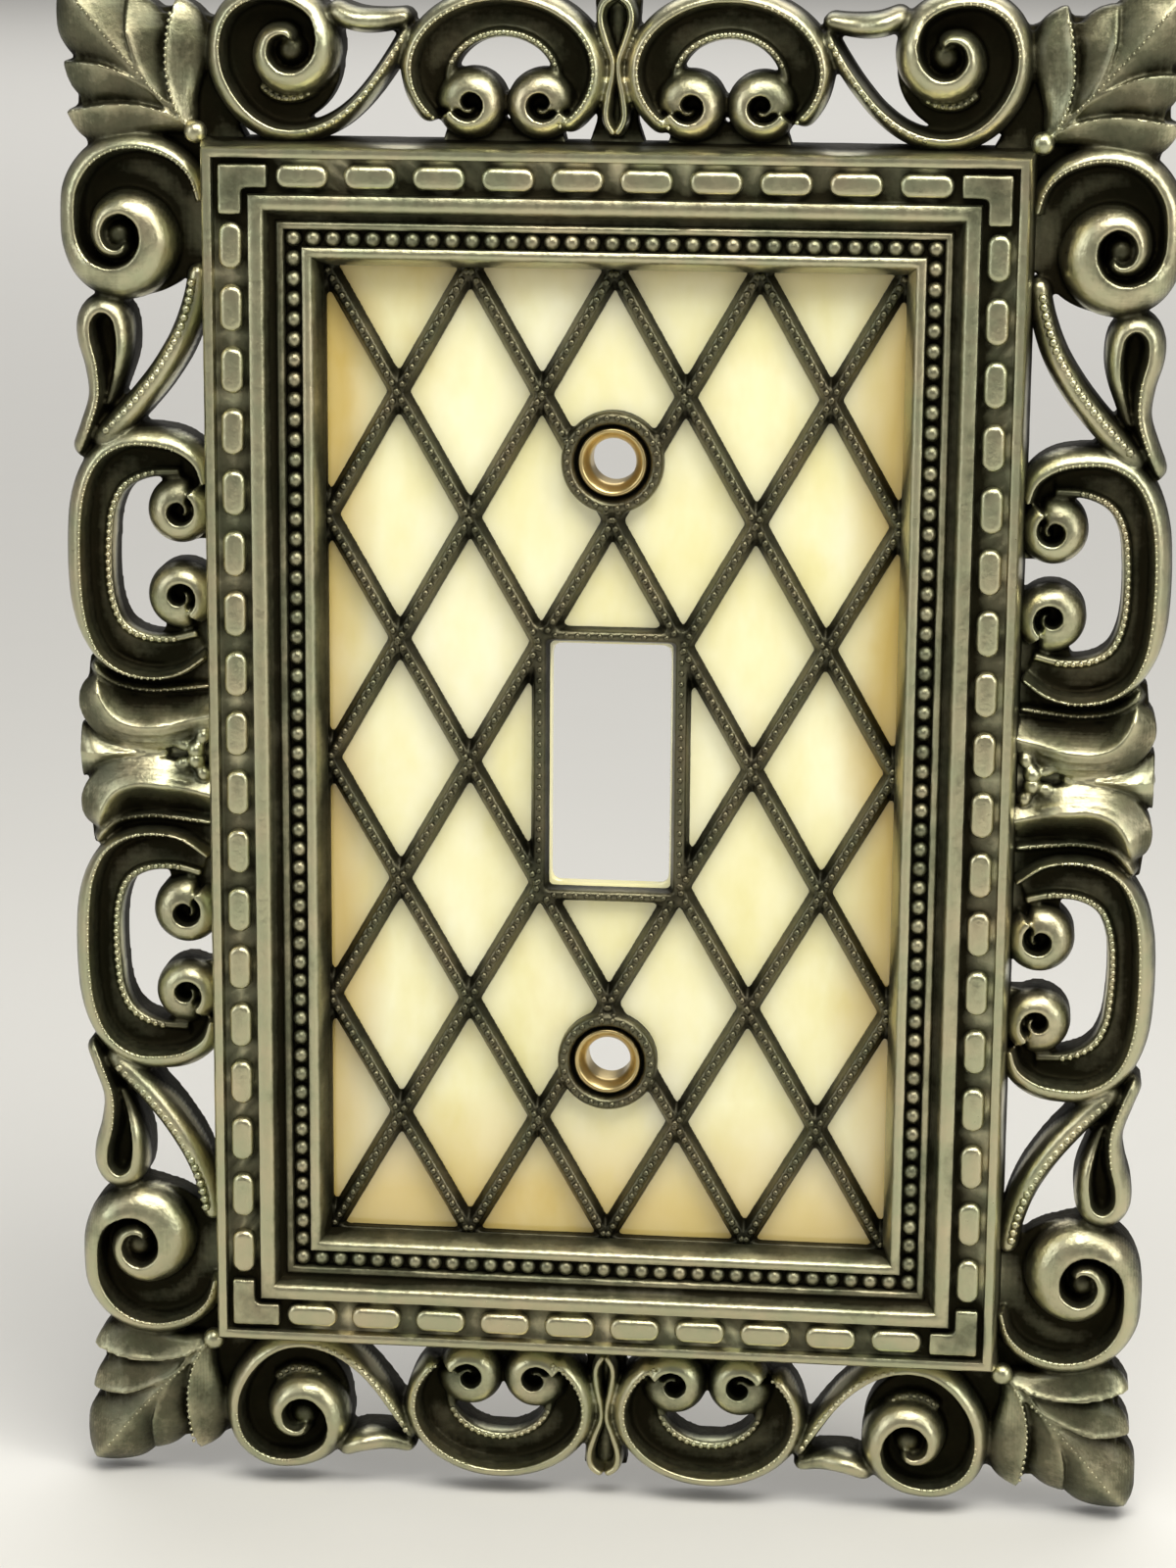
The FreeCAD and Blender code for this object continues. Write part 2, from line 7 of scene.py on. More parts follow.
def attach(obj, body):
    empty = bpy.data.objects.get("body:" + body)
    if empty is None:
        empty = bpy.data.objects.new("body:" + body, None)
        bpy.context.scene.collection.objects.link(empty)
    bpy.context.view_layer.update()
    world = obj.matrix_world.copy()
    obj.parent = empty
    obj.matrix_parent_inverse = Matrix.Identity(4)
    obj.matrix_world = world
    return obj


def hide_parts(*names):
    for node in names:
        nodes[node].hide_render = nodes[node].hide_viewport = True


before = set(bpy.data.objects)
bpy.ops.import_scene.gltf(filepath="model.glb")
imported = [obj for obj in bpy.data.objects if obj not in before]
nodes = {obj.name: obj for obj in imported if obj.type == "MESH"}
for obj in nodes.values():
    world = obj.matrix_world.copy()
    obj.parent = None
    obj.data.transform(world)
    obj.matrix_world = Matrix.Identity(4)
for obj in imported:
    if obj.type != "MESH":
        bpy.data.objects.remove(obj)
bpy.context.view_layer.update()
print("frame loaded:", len(nodes), "nodes")

# Pieces are modelled lying on their back in millimetres: x to the right, y up the plate, z off the wall.
# toWall() then stands them up against the wall and turns them into metres.
mm = 0.001
toWall = Matrix(((mm, 0, 0, 0), (0, 0, -mm, 0), (0, mm, 0, 0), (0, 0, 0, 1)))

# Sizes shared by several pieces, the same as the solids they stand for
plate = {
    "halfWidth": 53.9, "halfHeight": 76.1, "depth": 8.0,
    "sightX": 27.9, "sightY": 48.7,      # half of the opening in the moulding
    "edgeX": 39.9, "edgeY": 60.7,        # half of the moulding outside
    "pearlTop": 3.0, "grilleTop": 4.6,
    "screwY": 60.325 / 2, "eyeletHole": 2.8, "slotX": 6.0, "slotY": 12.3,
    "rebate": 6.0, "plateTop": 1.5,
}


# Small helpers

def clearSelection():
    if bpy.context.object and bpy.context.object.mode != "OBJECT":
        bpy.ops.object.mode_set(mode="OBJECT")
    bpy.ops.object.select_all(action="DESELECT")


def activate(piece):
    clearSelection()
    piece.select_set(True)
    bpy.context.view_layer.objects.active = piece


def newMesh(name, points, faces, edges=()):
    mesh = bpy.data.meshes.new(name)
    mesh.from_pydata([tuple(p) for p in points], list(edges), [tuple(f) for f in faces])
    piece = bpy.data.objects.new(name, mesh)
    bpy.context.scene.collection.objects.link(piece)
    return piece


def applyModifier(piece, kind, **settings):
    activate(piece)
    modifier = piece.modifiers.new(kind.title(), kind)
    for key, value in settings.items():
        setattr(modifier, key, value)
    bpy.ops.object.modifier_apply(modifier=modifier.name)


def joinPieces(name, pieces):
    activate(pieces[0])
    for piece in pieces[1:]:
        piece.select_set(True)
    if len(pieces) > 1:
        bpy.ops.object.join()
    joined = bpy.context.object
    joined.name = name
    joined.data.name = name
    return joined


def duplicatePiece(piece, name):
    twin = piece.copy()
    twin.data = piece.data.copy()
    twin.name = name
    bpy.context.scene.collection.objects.link(twin)
    return twin


# A mirrored copy with its own mesh, faces outwards.
def mirrorPiece(piece, name, signX, signY):
    twin = duplicatePiece(piece, name)
    twin.data.transform(Matrix.Diagonal((signX, signY, 1, 1)))
    if signX * signY < 0:
        twin.data.flip_normals()
    return twin


def outwards(piece):
    activate(piece)
    bpy.ops.object.mode_set(mode="EDIT")
    bpy.ops.mesh.select_all(action="SELECT")
    bpy.ops.mesh.remove_doubles(threshold=0.0005)
    bpy.ops.mesh.normals_make_consistent(inside=False)
    bpy.ops.object.mode_set(mode="OBJECT")


def smoothShade(piece, angle=40):
    activate(piece)
    bpy.ops.object.shade_smooth_by_angle(angle=math.radians(angle))


def positions(piece):
    found = np.empty(len(piece.data.vertices) * 3)
    piece.data.vertices.foreach_get("co", found)
    return found.reshape(-1, 3)


# Three box blurs along both axes, close to a soft round blur.
def blurField(field, reach):
    for axis in (0, 1, 0, 1, 0, 1):
        summed = np.cumsum(np.insert(field, 0, 0, axis=axis), axis=axis)
        summed = np.pad(summed, [(reach, reach) if a == axis else (0, 0) for a in (0, 1)], mode="edge")
        size = field.shape[axis]
        field = (np.take(summed, range(2 * reach, 2 * reach + size), axis)
                 - np.take(summed, range(0, size), axis)) / (2 * reach)
    return field


# Writes the patina and painted shade: each point's height against the blurred height of everything round it,
# low in hollows for patina and painted shade, high on crests for wear and painted highlight. Named pieces are
# shifted by the given amount, partly wear and partly painted highlight.
def paintPatinaAndShade(pieces, cell=0.3, reach=4, gain=0.36, rubbedAndLit=None):
    points = np.vstack([positions(piece) for piece in pieces])
    low = points[:, :2].min(0) - 4
    size = tuple(((points[:, :2].max(0) + 4 - low) / cell).astype(int) + 1)
    field = np.zeros(size)
    spots = ((points[:, :2] - low) / cell).astype(int)
    np.maximum.at(field, (spots[:, 0], spots[:, 1]), points[:, 2])
    for _ in range(3):
        grown = field.copy()
        for axis, shift in ((0, 1), (0, -1), (1, 1), (1, -1)):
            grown = np.maximum(grown, np.roll(field, shift, axis))
        field = np.where(field > 0, field, grown)
    field = blurField(field, reach)
    for piece in pieces:
        co = positions(piece)
        spots = ((co[:, :2] - low) / cell).astype(int)
        lift = (rubbedAndLit or {}).get(piece.name, 0.0)
        value = np.clip(0.5 + lift + gain * (co[:, 2] - field[spots[:, 0], spots[:, 1]]), 0, 1)
        layer = piece.data.color_attributes.new(name="PatinaAndShade", type="FLOAT_COLOR", domain="POINT")
        layer.data.foreach_set("color", np.repeat(value, 4))


# Stands the piece up, gives it its finish and ties it to the body.
def finishPiece(piece, material, replaced):
    wide, tall = plate["halfWidth"], plate["halfHeight"]
    inBox = np.clip(positions(piece), (-wide, -tall, 0.0), (wide, tall, plate["depth"]))
    piece.data.vertices.foreach_set("co", inBox.ravel())
    piece.data.transform(toWall)
    piece.data.materials.clear()
    piece.data.materials.append(material)
    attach(piece, "root")
    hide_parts(replaced)


# Runs a Catmull-Rom curve through rows of (x, y, more values) and samples it about every step mm.
def smoothRows(rows, step):
    rows = np.array(rows, float)
    ends = np.vstack([2 * rows[0] - rows[1], rows, 2 * rows[-1] - rows[-2]])
    samples = []
    for i in range(1, len(ends) - 2):
        a, b, c, d = ends[i - 1:i + 3]
        count = max(2, int(np.ceil(np.linalg.norm(c[:2] - b[:2]) / step)))
        for t in np.arange(count) / count:
            samples.append(0.5 * (2 * b + (c - a) * t + (2 * a - 5 * b + 4 * c - d) * t ** 2
                                  + (3 * b - 3 * c + d - a) * t ** 3))
    samples.append(rows[-1])
    return np.array(samples)


# Section of a ridge: a long convex slope on its outer side and a steep wall on its inner side
outerSlope = [1.0, 0.97, 0.9, 0.78, 0.64, 0.48, 0.32, 0.18, 0.08]
innerWall = [0.12, 0.3, 0.55, 0.8, 1.0]
ridgeSection = [(-a, (1 - a ** 2.1) ** 0.5) for a in outerSlope]
ridgeSection += [(0, 1.0)] + [(a, (1 - a) ** 1.5) for a in innerWall]

# Section of a leaf's blade: a crisp ridge over a broad, nearly flat face
bladeSection = [(-1.0, 0.3), (-0.85, 0.5), (-0.6, 0.68), (-0.35, 0.78), (-0.15, 0.86), (0, 1.0)]
bladeSection += [(a, (1 - a) ** 1.5) for a in innerWall]

# Section of a blade that falls gently on both sides of its ridge
valleySection = [(-1, 0.12), (-0.8, 0.24), (-0.55, 0.44), (-0.3, 0.7), (-0.12, 0.9), (0, 1.0), (0.12, 0.93),
                 (0.4, 0.76), (0.7, 0.58), (1.0, 0.42)]

# Section of a round bar
barSection = [(a, (1 - abs(a) ** 2.2) ** 0.5) for a in (-1, -0.93, -0.8, -0.6, -0.4, -0.2, 0,
                                                        0.2, 0.4, 0.6, 0.8, 0.93, 1)]

# Section of a leaf's lobe: a crisp crest in the middle
lobeSection = [(a, (1 - abs(a)) ** 0.6) for a in (-1, -0.9, -0.75, -0.55, -0.35, -0.15, 0,
                                                  0.15, 0.35, 0.55, 0.75, 0.9, 1)]


# Gathers the closed solids of one casting, to be melted together.
class Relief:

    def __init__(self):
        self.points = []
        self.faces = []

    def add(self, points, faces):
        offset = len(self.points)
        self.points += [tuple(p) for p in points]
        self.faces += [tuple(i + offset for i in face) for face in faces]

    # Sweeps a section along rows of (x, y, outer width, inner width, top).
    # Side 1 has its outside on the left.
    def stroke(self, rows, section, side=1, base=3.2, step=0.35, blunt=(True, True)):
        path = smoothRows(rows, step)
        run = np.concatenate([[0], np.cumsum(np.linalg.norm(np.diff(path[:, :2], axis=0), axis=1))])
        tangent = np.gradient(path[:, :2], axis=0)
        tangent /= np.linalg.norm(tangent, axis=1)[:, None]
        outward = side * np.stack([-tangent[:, 1], tangent[:, 0]], 1)
        ease = np.ones(len(path))
        for rounded, distance in zip(blunt, (run, run[-1] - run)):
            if rounded:
                inside = np.clip(distance / path[:, 2:4].max(1), 0, 1)
                ease = np.minimum(ease, np.sqrt(np.clip(1 - (1 - inside) ** 2, 0.02, 1)))
        points = []
        for row, out, share in zip(path, outward, ease):
            ring = []
            for place, height in section:
                width = row[2] if place < 0 else row[3]
                spot = row[:2] - out * place * width * share
                ring.append((spot[0], spot[1], base + height * (row[4] - base) * (0.35 + 0.65 * share)))
            points.append((ring[0][0], ring[0][1], 0))
            points += ring
            points.append((ring[-1][0], ring[-1][1], 0))
        ring = len(section) + 2
        faces = []
        for i in range(len(path) - 1):
            for j in range(ring):
                k = (j + 1) % ring
                faces.append((i * ring + j, i * ring + k, (i + 1) * ring + k, (i + 1) * ring + j))
        faces.append(tuple(range(ring)))
        faces.append(tuple(range((len(path) - 1) * ring, len(path) * ring)))
        self.add(points, faces)
        return path, outward

    def prism(self, outline, low, high):
        count = len(outline)
        points = [(x, y, low) for x, y in outline] + [(x, y, high) for x, y in outline]
        faces = [(i, (i + 1) % count, count + (i + 1) % count, count + i) for i in range(count)]
        faces += [tuple(range(count)), tuple(range(count, 2 * count))]
        self.add(points, faces)

    def disc(self, x, y, radius, top, bottom=0.0, count=64):
        turns = np.arange(count) * 2 * math.pi / count
        self.prism([(x + radius * math.cos(a), y + radius * math.sin(a)) for a in turns], bottom, top)

    def ball(self, x, y, z, radius, around=14, rings=8):
        points = [(x, y, z - radius)]
        for i in range(1, rings):
            tilt = math.pi * i / rings
            points += [(x + radius * math.sin(tilt) * math.cos(2 * math.pi * j / around),
                        y + radius * math.sin(tilt) * math.sin(2 * math.pi * j / around),
                        z - radius * math.cos(tilt)) for j in range(around)]
        points.append((x, y, z + radius))
        last = len(points) - 1
        faces = [(0, 1 + (j + 1) % around, 1 + j) for j in range(around)]
        for i in range(rings - 2):
            for j in range(around):
                k = (j + 1) % around
                faces.append((1 + i * around + j, 1 + i * around + k,
                              1 + (i + 1) * around + k, 1 + (i + 1) * around + j))
        start = 1 + (rings - 2) * around
        faces += [(start + j, start + (j + 1) % around, last) for j in range(around)]
        self.add(points, faces)

    def build(self, name):
        return newMesh(name, self.points, self.faces)


# Melts the gathered solids into one skin, as a casting comes out of its mould.
def cavityCast(piece, voxel, melt=2, rough=0.05):
    applyModifier(piece, "REMESH", mode="VOXEL", voxel_size=voxel, adaptivity=0.0)
    applyModifier(piece, "SMOOTH", factor=0.5, iterations=melt)
    if rough:
        clouds = bpy.data.textures.new(piece.name + "Clouds", "CLOUDS")
        clouds.noise_scale = 2.4
        clouds.noise_depth = 2
        applyModifier(piece, "DISPLACE", texture=clouds, strength=rough, mid_level=0.5)
    return piece


# One bead is made, then copied to every (x, y, z, radius).
def beadsAt(name, places, subdivisions=1):
    clearSelection()
    bpy.ops.mesh.primitive_ico_sphere_add(subdivisions=subdivisions, radius=1, location=(0, 0, 0))
    bead = bpy.context.object
    shape = np.array([v.co[:] for v in bead.data.vertices])
    skin = np.array([p.vertices[:] for p in bead.data.polygons])
    bpy.data.objects.remove(bead)
    places = np.array(places, float)
    points = (shape[None] * places[:, 3][:, None, None] + places[:, None, :3]).reshape(-1, 3)
    faces = (skin[None] + (np.arange(len(places)) * len(shape))[:, None, None]).reshape(-1, 3)
    return newMesh(name, points, faces)


# Bead places every pitch mm along a stroke's trail, moved outwards by shift mm.
def alongPath(trail, shift, pitch, z, radius, start=0.0, end=1.0):
    path, outward = trail
    centres = path[:, :2] + outward * shift
    run = np.concatenate([[0], np.cumsum(np.linalg.norm(np.diff(centres, axis=0), axis=1))])
    stops = np.arange(run[-1] * start + pitch / 2, run[-1] * end, pitch)
    return [(np.interp(s, run, centres[:, 0]), np.interp(s, run, centres[:, 1]), z, radius) for s in stops]


# Shader maths

# Wraps a socket, so that shader maths reads as plain expressions.
class Maths:

    def __init__(self, tree, socket):
        self.tree = tree
        self.socket = socket

    def op(self, kind, other=None, flip=False):
        node = self.tree.nodes.new("ShaderNodeMath")
        node.operation = kind
        values = [other, self] if flip else [self, other]
        for slotNumber, value in enumerate(values):
            if isinstance(value, Maths):
                self.tree.links.new(value.socket, node.inputs[slotNumber])
            elif value is not None:
                node.inputs[slotNumber].default_value = value
        return Maths(self.tree, node.outputs[0])

    def __add__(self, other):
        return self.op("ADD", other)

    def __radd__(self, other):
        return self.op("ADD", other)

    def __sub__(self, other):
        return self.op("SUBTRACT", other)

    def __rsub__(self, other):
        return self.op("SUBTRACT", other, flip=True)

    def __mul__(self, other):
        return self.op("MULTIPLY", other)

    def __truediv__(self, other):
        return self.op("DIVIDE", other)

    def clamp(self, low=0.0, high=1.0):
        return self.op("MAXIMUM", low).op("MINIMUM", high)

    # 0 below low, 1 above high, a straight ramp between.
    def step(self, low, high):
        return ((self - low) / (high - low)).clamp()


# One material: its node tree and the few calls that fill it.
class Shader:

    def __init__(self, name, **constants):
        self.material = bpy.data.materials.new(name)
        self.material.use_nodes = True
        self.tree = self.material.node_tree
        self.surface = self.tree.nodes["Principled BSDF"]
        for key, value in constants.items():
            self.surface.inputs[key.replace("_", " ")].default_value = value
        self.place = self.node("ShaderNodeTexCoord").outputs["Object"]

    # Links a socket to another one, or gives it a plain value.
    def feed(self, socket, value):
        if isinstance(value, Maths):
            value = value.socket
        if isinstance(value, bpy.types.NodeSocket):
            self.tree.links.new(value, socket)
        else:
            socket.default_value = value

    def node(self, kind, settings=None, **inputs):
        made = self.tree.nodes.new(kind)
        for key, value in (settings or {}).items():
            setattr(made, key, value)
        for key, value in inputs.items():
            self.feed(made.inputs[key], value)
        return made

    def wrap(self, socket):
        return Maths(self.tree, socket)

    # Noise from 0 to 1; scale is in features per metre.
    def noise(self, scale, detail=3.0, rough=0.5, vector=None):
        made = self.node("ShaderNodeTexNoise", {"noise_dimensions": "3D"}, Vector=vector or self.place,
                         Scale=scale, Detail=detail, Roughness=rough)
        return self.wrap(made.outputs["Fac"])

    def mix(self, factor, first, second, blend="MIX"):
        made = self.node("ShaderNodeMix", {"data_type": "RGBA", "blend_type": blend})
        for slotNumber, value in ((0, factor), (6, first), (7, second)):
            if isinstance(value, tuple):
                value = (*value, 1)
            self.feed(made.inputs[slotNumber], value)
        return made.outputs[2]

    def xyz(self):
        parts = self.node("ShaderNodeSeparateXYZ", Vector=self.place)
        return [self.wrap(parts.outputs[i]) for i in range(3)]

    # Reads the per-point patina and painted shade: low in hollows, high on crests.
    def patinaAndShade(self):
        colour = self.node("ShaderNodeAttribute", {"attribute_name": "PatinaAndShade"})
        return self.wrap(colour.outputs["Fac"])

    def set(self, **inputs):
        for key, value in inputs.items():
            self.feed(self.surface.inputs[key.replace("_", " ")], value)

    def bump(self, height, distance, strength=1.0):
        made = self.node("ShaderNodeBump", Height=height, Distance=distance, Strength=strength)
        self.feed(self.surface.inputs["Normal"], made.outputs["Normal"])


# Cast brass under a satin lacquer, olive on the flats: darker in the recesses as patina and painted shade,
# lighter on the crests as wear and painted highlight.
def antiqueBrass(name, dark, middle, bright, lacquer=0.3, edgeLow=0.52, edgeHigh=0.74):
    look = Shader(name, Metallic=1.0, IOR=1.5, Coat_Roughness=0.28)
    patinaAndShade = look.patinaAndShade()
    cloud = look.noise(180, 4, 0.6)
    blotch = look.noise(520, 4, 0.65)
    grain = look.noise(1600, 3, 0.6)
    wearAndShade = patinaAndShade + (cloud - 0.5) * 0.2 + (blotch - 0.5) * 0.2 + (grain - 0.5) * 0.12
    # Low values give the dark colour (patina and painted shade in the hollows), high values the bright colour
    # (wear and painted highlight on the crests).
    recess = 1 - wearAndShade.step(0.26, 0.5)
    crest = wearAndShade.step(edgeLow, edgeHigh)
    base = look.mix(crest, middle, bright)
    base = look.mix(recess, base, dark)
    tint = look.mix(cloud.step(0.35, 0.7), (0.86, 0.93, 0.8), (1.1, 1.02, 0.9))
    base = look.mix(1.0, base, tint, "MULTIPLY")
    look.set(Base_Color=base, Coat_Weight=(1 - recess) * lacquer)
    look.set(Roughness=0.44 + recess * 0.22 + (grain - 0.5) * 0.2 + (blotch - 0.5) * 0.2 - crest * 0.1)
    look.bump(grain * 0.5 + blotch * 0.9 + cloud * 0.8, 0.00014, 0.6)
    return look.material


# Marbled pearl: cream with soft amber clouds, warmer towards the panel's margins.
def pearlAcrylic():
    look = Shader("pearlAcrylic", Metallic=0.0, Roughness=0.16, IOR=1.5, Coat_Weight=0.6, Coat_Roughness=0.05)
    x, y, z = look.xyz()
    bend = look.noise(35, 3, 0.55)
    swirl = look.node("ShaderNodeMapping", {"vector_type": "POINT"}, Vector=look.place,
                      Scale=(1.0, 1.0, 0.55))
    cloud = look.noise(55, 5, 0.6, swirl.outputs[0])
    veil = look.noise(130, 4, 0.55, swirl.outputs[0])
    sideX = x.op("ABSOLUTE") * 1000 + (bend - 0.5) * 9
    sideZ = z.op("ABSOLUTE") * 1000 + (bend - 0.5) * 9
    low = z * -1000 + (bend - 0.5) * 12
    margin = sideX.step(22.5, 27.5).op("MAXIMUM", sideZ.step(44.5, 49.5) * 0.6)
    margin = margin.op("MAXIMUM", low.step(34, 46) * 0.9)
    amber = (margin * 0.9 + cloud.step(0.55, 0.85) * 0.55).clamp()
    base = look.mix(veil.step(0.3, 0.7), (0.78, 0.72, 0.35), (0.90, 0.87, 0.59))
    base = look.mix(cloud.step(0.5, 0.25) * 0.6, base, (0.90, 0.87, 0.74))
    base = look.mix(amber * 0.92, base, (0.58, 0.40, 0.08))
    look.set(Base_Color=base)
    look.bump(cloud, 0.0004, 0.25)
    return look.material


def plainMetal(name, colour, rough, grainScale=900, spread=0.1):
    look = Shader(name, Metallic=1.0)
    grain = look.noise(grainScale, 3, 0.6)
    cloud = look.noise(120, 3, 0.5)
    darker = tuple(c * 0.72 for c in colour)
    look.set(Base_Color=look.mix(cloud.step(0.3, 0.7), darker, colour))
    look.set(Roughness=rough + (grain - 0.5) * spread)
    look.bump(grain, 0.00004, 0.5)
    return look.material


finishes = {
    "casting": antiqueBrass("antiqueBrass", dark=(0.017, 0.015, 0.009), middle=(0.115, 0.11, 0.072),
                            bright=(0.48, 0.455, 0.33)),
    "grille": antiqueBrass("darkAntiqueBrass", dark=(0.010, 0.009, 0.006), middle=(0.024, 0.022, 0.015),
                           bright=(0.13, 0.12, 0.083), lacquer=0.08),
    "pearl": pearlAcrylic(),
    "brass": plainMetal("polishedBrass", (0.62, 0.48, 0.22), 0.3),
    "zinc": plainMetal("platedSteel", (0.52, 0.50, 0.46), 0.42),
    "screw": plainMetal("screwSteel", (0.45, 0.45, 0.44), 0.35),
}
print("finishes made:", len(finishes))


# Scroll border: one quarter is built and mirrored

border = {"web": 2.9, "low": 4.2, "mid": 5.0, "high": 5.8, "crown": 6.5, "voxel": 0.21}


# A small volute: a domed ball whose ridge winds in to the eye.
def snail(relief, x, y, radius, start, turn, top, turns=1.35):
    rows = []
    steps = 20

    def ridge(t):
        return radius * (0.56 - 0.43 * (t / turns) ** 0.9)

    for i in range(steps + 1):
        t = turns * i / steps
        angle = math.radians(start + turn * 360 * t)
        outer = radius - ridge(t) if t < 1 else 0.5 * (ridge(t - 1) - ridge(t))
        rows.append((x + ridge(t) * math.cos(angle), y + ridge(t) * math.sin(angle), outer,
                     radius * (0.13 if t < 1 else 0.09), top - 0.5 * t))
    relief.disc(x, y, radius * 0.97, border["web"])
    return relief.stroke(rows, ridgeSection, -turn, base=border["web"], step=0.2, blunt=(False, True))


# The C-scroll on the long side, with its two small volutes and the beaded lip of its opening.
def sideScroll(relief):
    high, web = border["high"], border["web"]
    ridge = [(40.0, 27.2), (40.8, 29.2), (42.7, 30.5), (45.2, 31.0), (47.6, 30.9), (49.7, 29.8), (51.1, 27.8),
             (51.9, 25.0), (52.2, 21.5), (52.2, 18.0), (52.0, 15.0), (51.5, 12.4), (50.3, 10.0), (48.2, 8.5),
             (45.4, 8.0), (42.6, 8.5), (40.0, 10.2)]
    outer = [0.9, 1.5, 1.8, 1.8, 1.7, 1.6, 1.6, 1.7, 1.7, 1.7, 1.6, 1.3, 0.9, 0.6, 0.5, 0.5, 0.5]
    rim = relief.stroke([(x, y, out, 0.8, high) for (x, y), out in zip(ridge, outer)], ridgeSection,
                        base=web, blunt=(False, False))
    lip = [(42.5, 28.2), (45.6, 28.0), (48.0, 26.8), (49.2, 24.6), (49.6, 21.8), (49.7, 18.5), (49.4, 15.4),
           (48.4, 13.0), (46.4, 11.8), (43.6, 11.6), (41.0, 12.2)]
    floor = [(x, y, 2.6, 0.35, web + 0.3) for x, y in lip]
    relief.stroke(floor, [(-1, 1.0), (0, 1.0), (1, 0.9)], base=web - 0.4, blunt=(False, False))
    edge = relief.stroke([(x, y, 0.5, 0.5, border["low"]) for x, y in lip], barSection, base=web,
                         blunt=(False, False))
    relief.prism([(38.5, 21.5), (42, 21.5), (44.5, 28), (43, 30.3), (38.5, 28.8)], 0, web)
    relief.prism([(38.5, 18.5), (42, 18.5), (44.5, 12.4), (43, 9), (38.5, 10.8)], 0, web)
    snail(relief, 42.5, 24.5, 3.35, 120, 1, high)
    snail(relief, 42.5, 16.0, 3.45, -120, -1, high)
    beads = alongPath(edge, 0.05, 0.75, border["low"] - 0.05, 0.34, 0.08, 0.92)
    beads += alongPath(rim, 0.1, 0.62, high - 0.08, 0.2, 0.1, 0.9)
    return beads


# The hollow drop and the notched rod between the C-scroll and the side volute.
def dropAndRod(relief):
    mid, high = border["mid"], border["high"]
    rod = relief.stroke([
        (50.8, 30.8, 1.1, 1.1, mid), (48.9, 32.5, 1.3, 1.3, high), (46.4, 35.1, 1.35, 1.35, high),
        (44.0, 38.1, 1.35, 1.35, high), (42.1, 41.3, 1.3, 1.3, high), (40.8, 45.0, 1.2, 1.2, mid),
        (40.2, 48.6, 1.1, 1.1, mid)], barSection)
    outside = relief.stroke([
        (52.3, 29.6, 1.2, 0.8, mid), (51.0, 32.6, 1.3, 0.9, high), (50.1, 35.6, 1.3, 1.0, high),
        (50.2, 38.6, 1.5, 1.0, high), (50.8, 41.2, 1.6, 0.9, high), (50.7, 43.0, 1.7, 0.8, high),
        (49.7, 43.9, 1.8, 0.7, high), (48.6, 43.3, 1.6, 0.7, high), (48.2, 41.6, 1.5, 0.7, high),
        (48.2, 39.6, 1.3, 0.7, high), (48.8, 37.0, 1.0, 0.6, mid), (49.5, 34.6, 0.7, 0.5, mid)],
        ridgeSection, -1)
    relief.prism([(49.2, 33.5), (51.0, 33.5), (51.0, 37), (51.8, 41.5), (51.4, 44), (48.2, 44), (47.2, 41.5),
                  (47.8, 38)], 0, border["web"] + 0.3)
    beads = alongPath(rod, -0.25, 0.86, high - 0.3, 0.5, 0.08, 0.94)
    beads += alongPath(outside, 0.05, 0.62, high - 0.1, 0.2, 0.1, 0.4)
    return beads


# The large volute: its rim leaves the moulding, runs over the top and winds down into a ball.
def sideVolute(relief):
    high, crown, web = border["high"], border["crown"], border["web"]
    ridge = [(40.0, 54.6, 0.9, high), (40.7, 56.8, 1.1, high), (42.2, 58.4, 1.3, high),
             (44.2, 59.3, 1.5, high), (46.4, 59.6, 1.6, high), (48.7, 59.1, 1.7, high),
             (50.6, 57.7, 1.8, high), (51.8, 55.6, 1.85, high), (52.1, 53.0, 1.8, high),
             (51.8, 50.6, 2.0, high), (50.5, 48.8, 2.6, crown), (48.5, 48.1, 3.2, crown),
             (46.6, 48.8, 3.6, crown), (45.6, 50.6, 3.6, crown), (45.9, 52.4, 3.0, crown),
             (47.3, 53.4, 2.4, crown), (48.8, 52.9, 1.9, crown), (49.4, 51.5, 1.5, crown),
             (48.9, 50.2, 1.3, crown), (47.7, 49.9, 1.0, crown), (47.0, 50.8, 0.9, crown)]
    rim = relief.stroke([(x, y, out, 0.65, top) for x, y, out, top in ridge], ridgeSection, base=web,
                        step=0.3, blunt=(False, True))
    relief.disc(46.6, 52.3, 7.0, web)
    relief.ball(47.9, 51.3, 4.0, 1.4)
    relief.prism([(38.5, 49), (42, 49), (44, 58), (42, 59.6), (38.5, 59)], 0, web)
    return alongPath(rim, 0.1, 0.62, high - 0.08, 0.2, 0.02, 0.34)


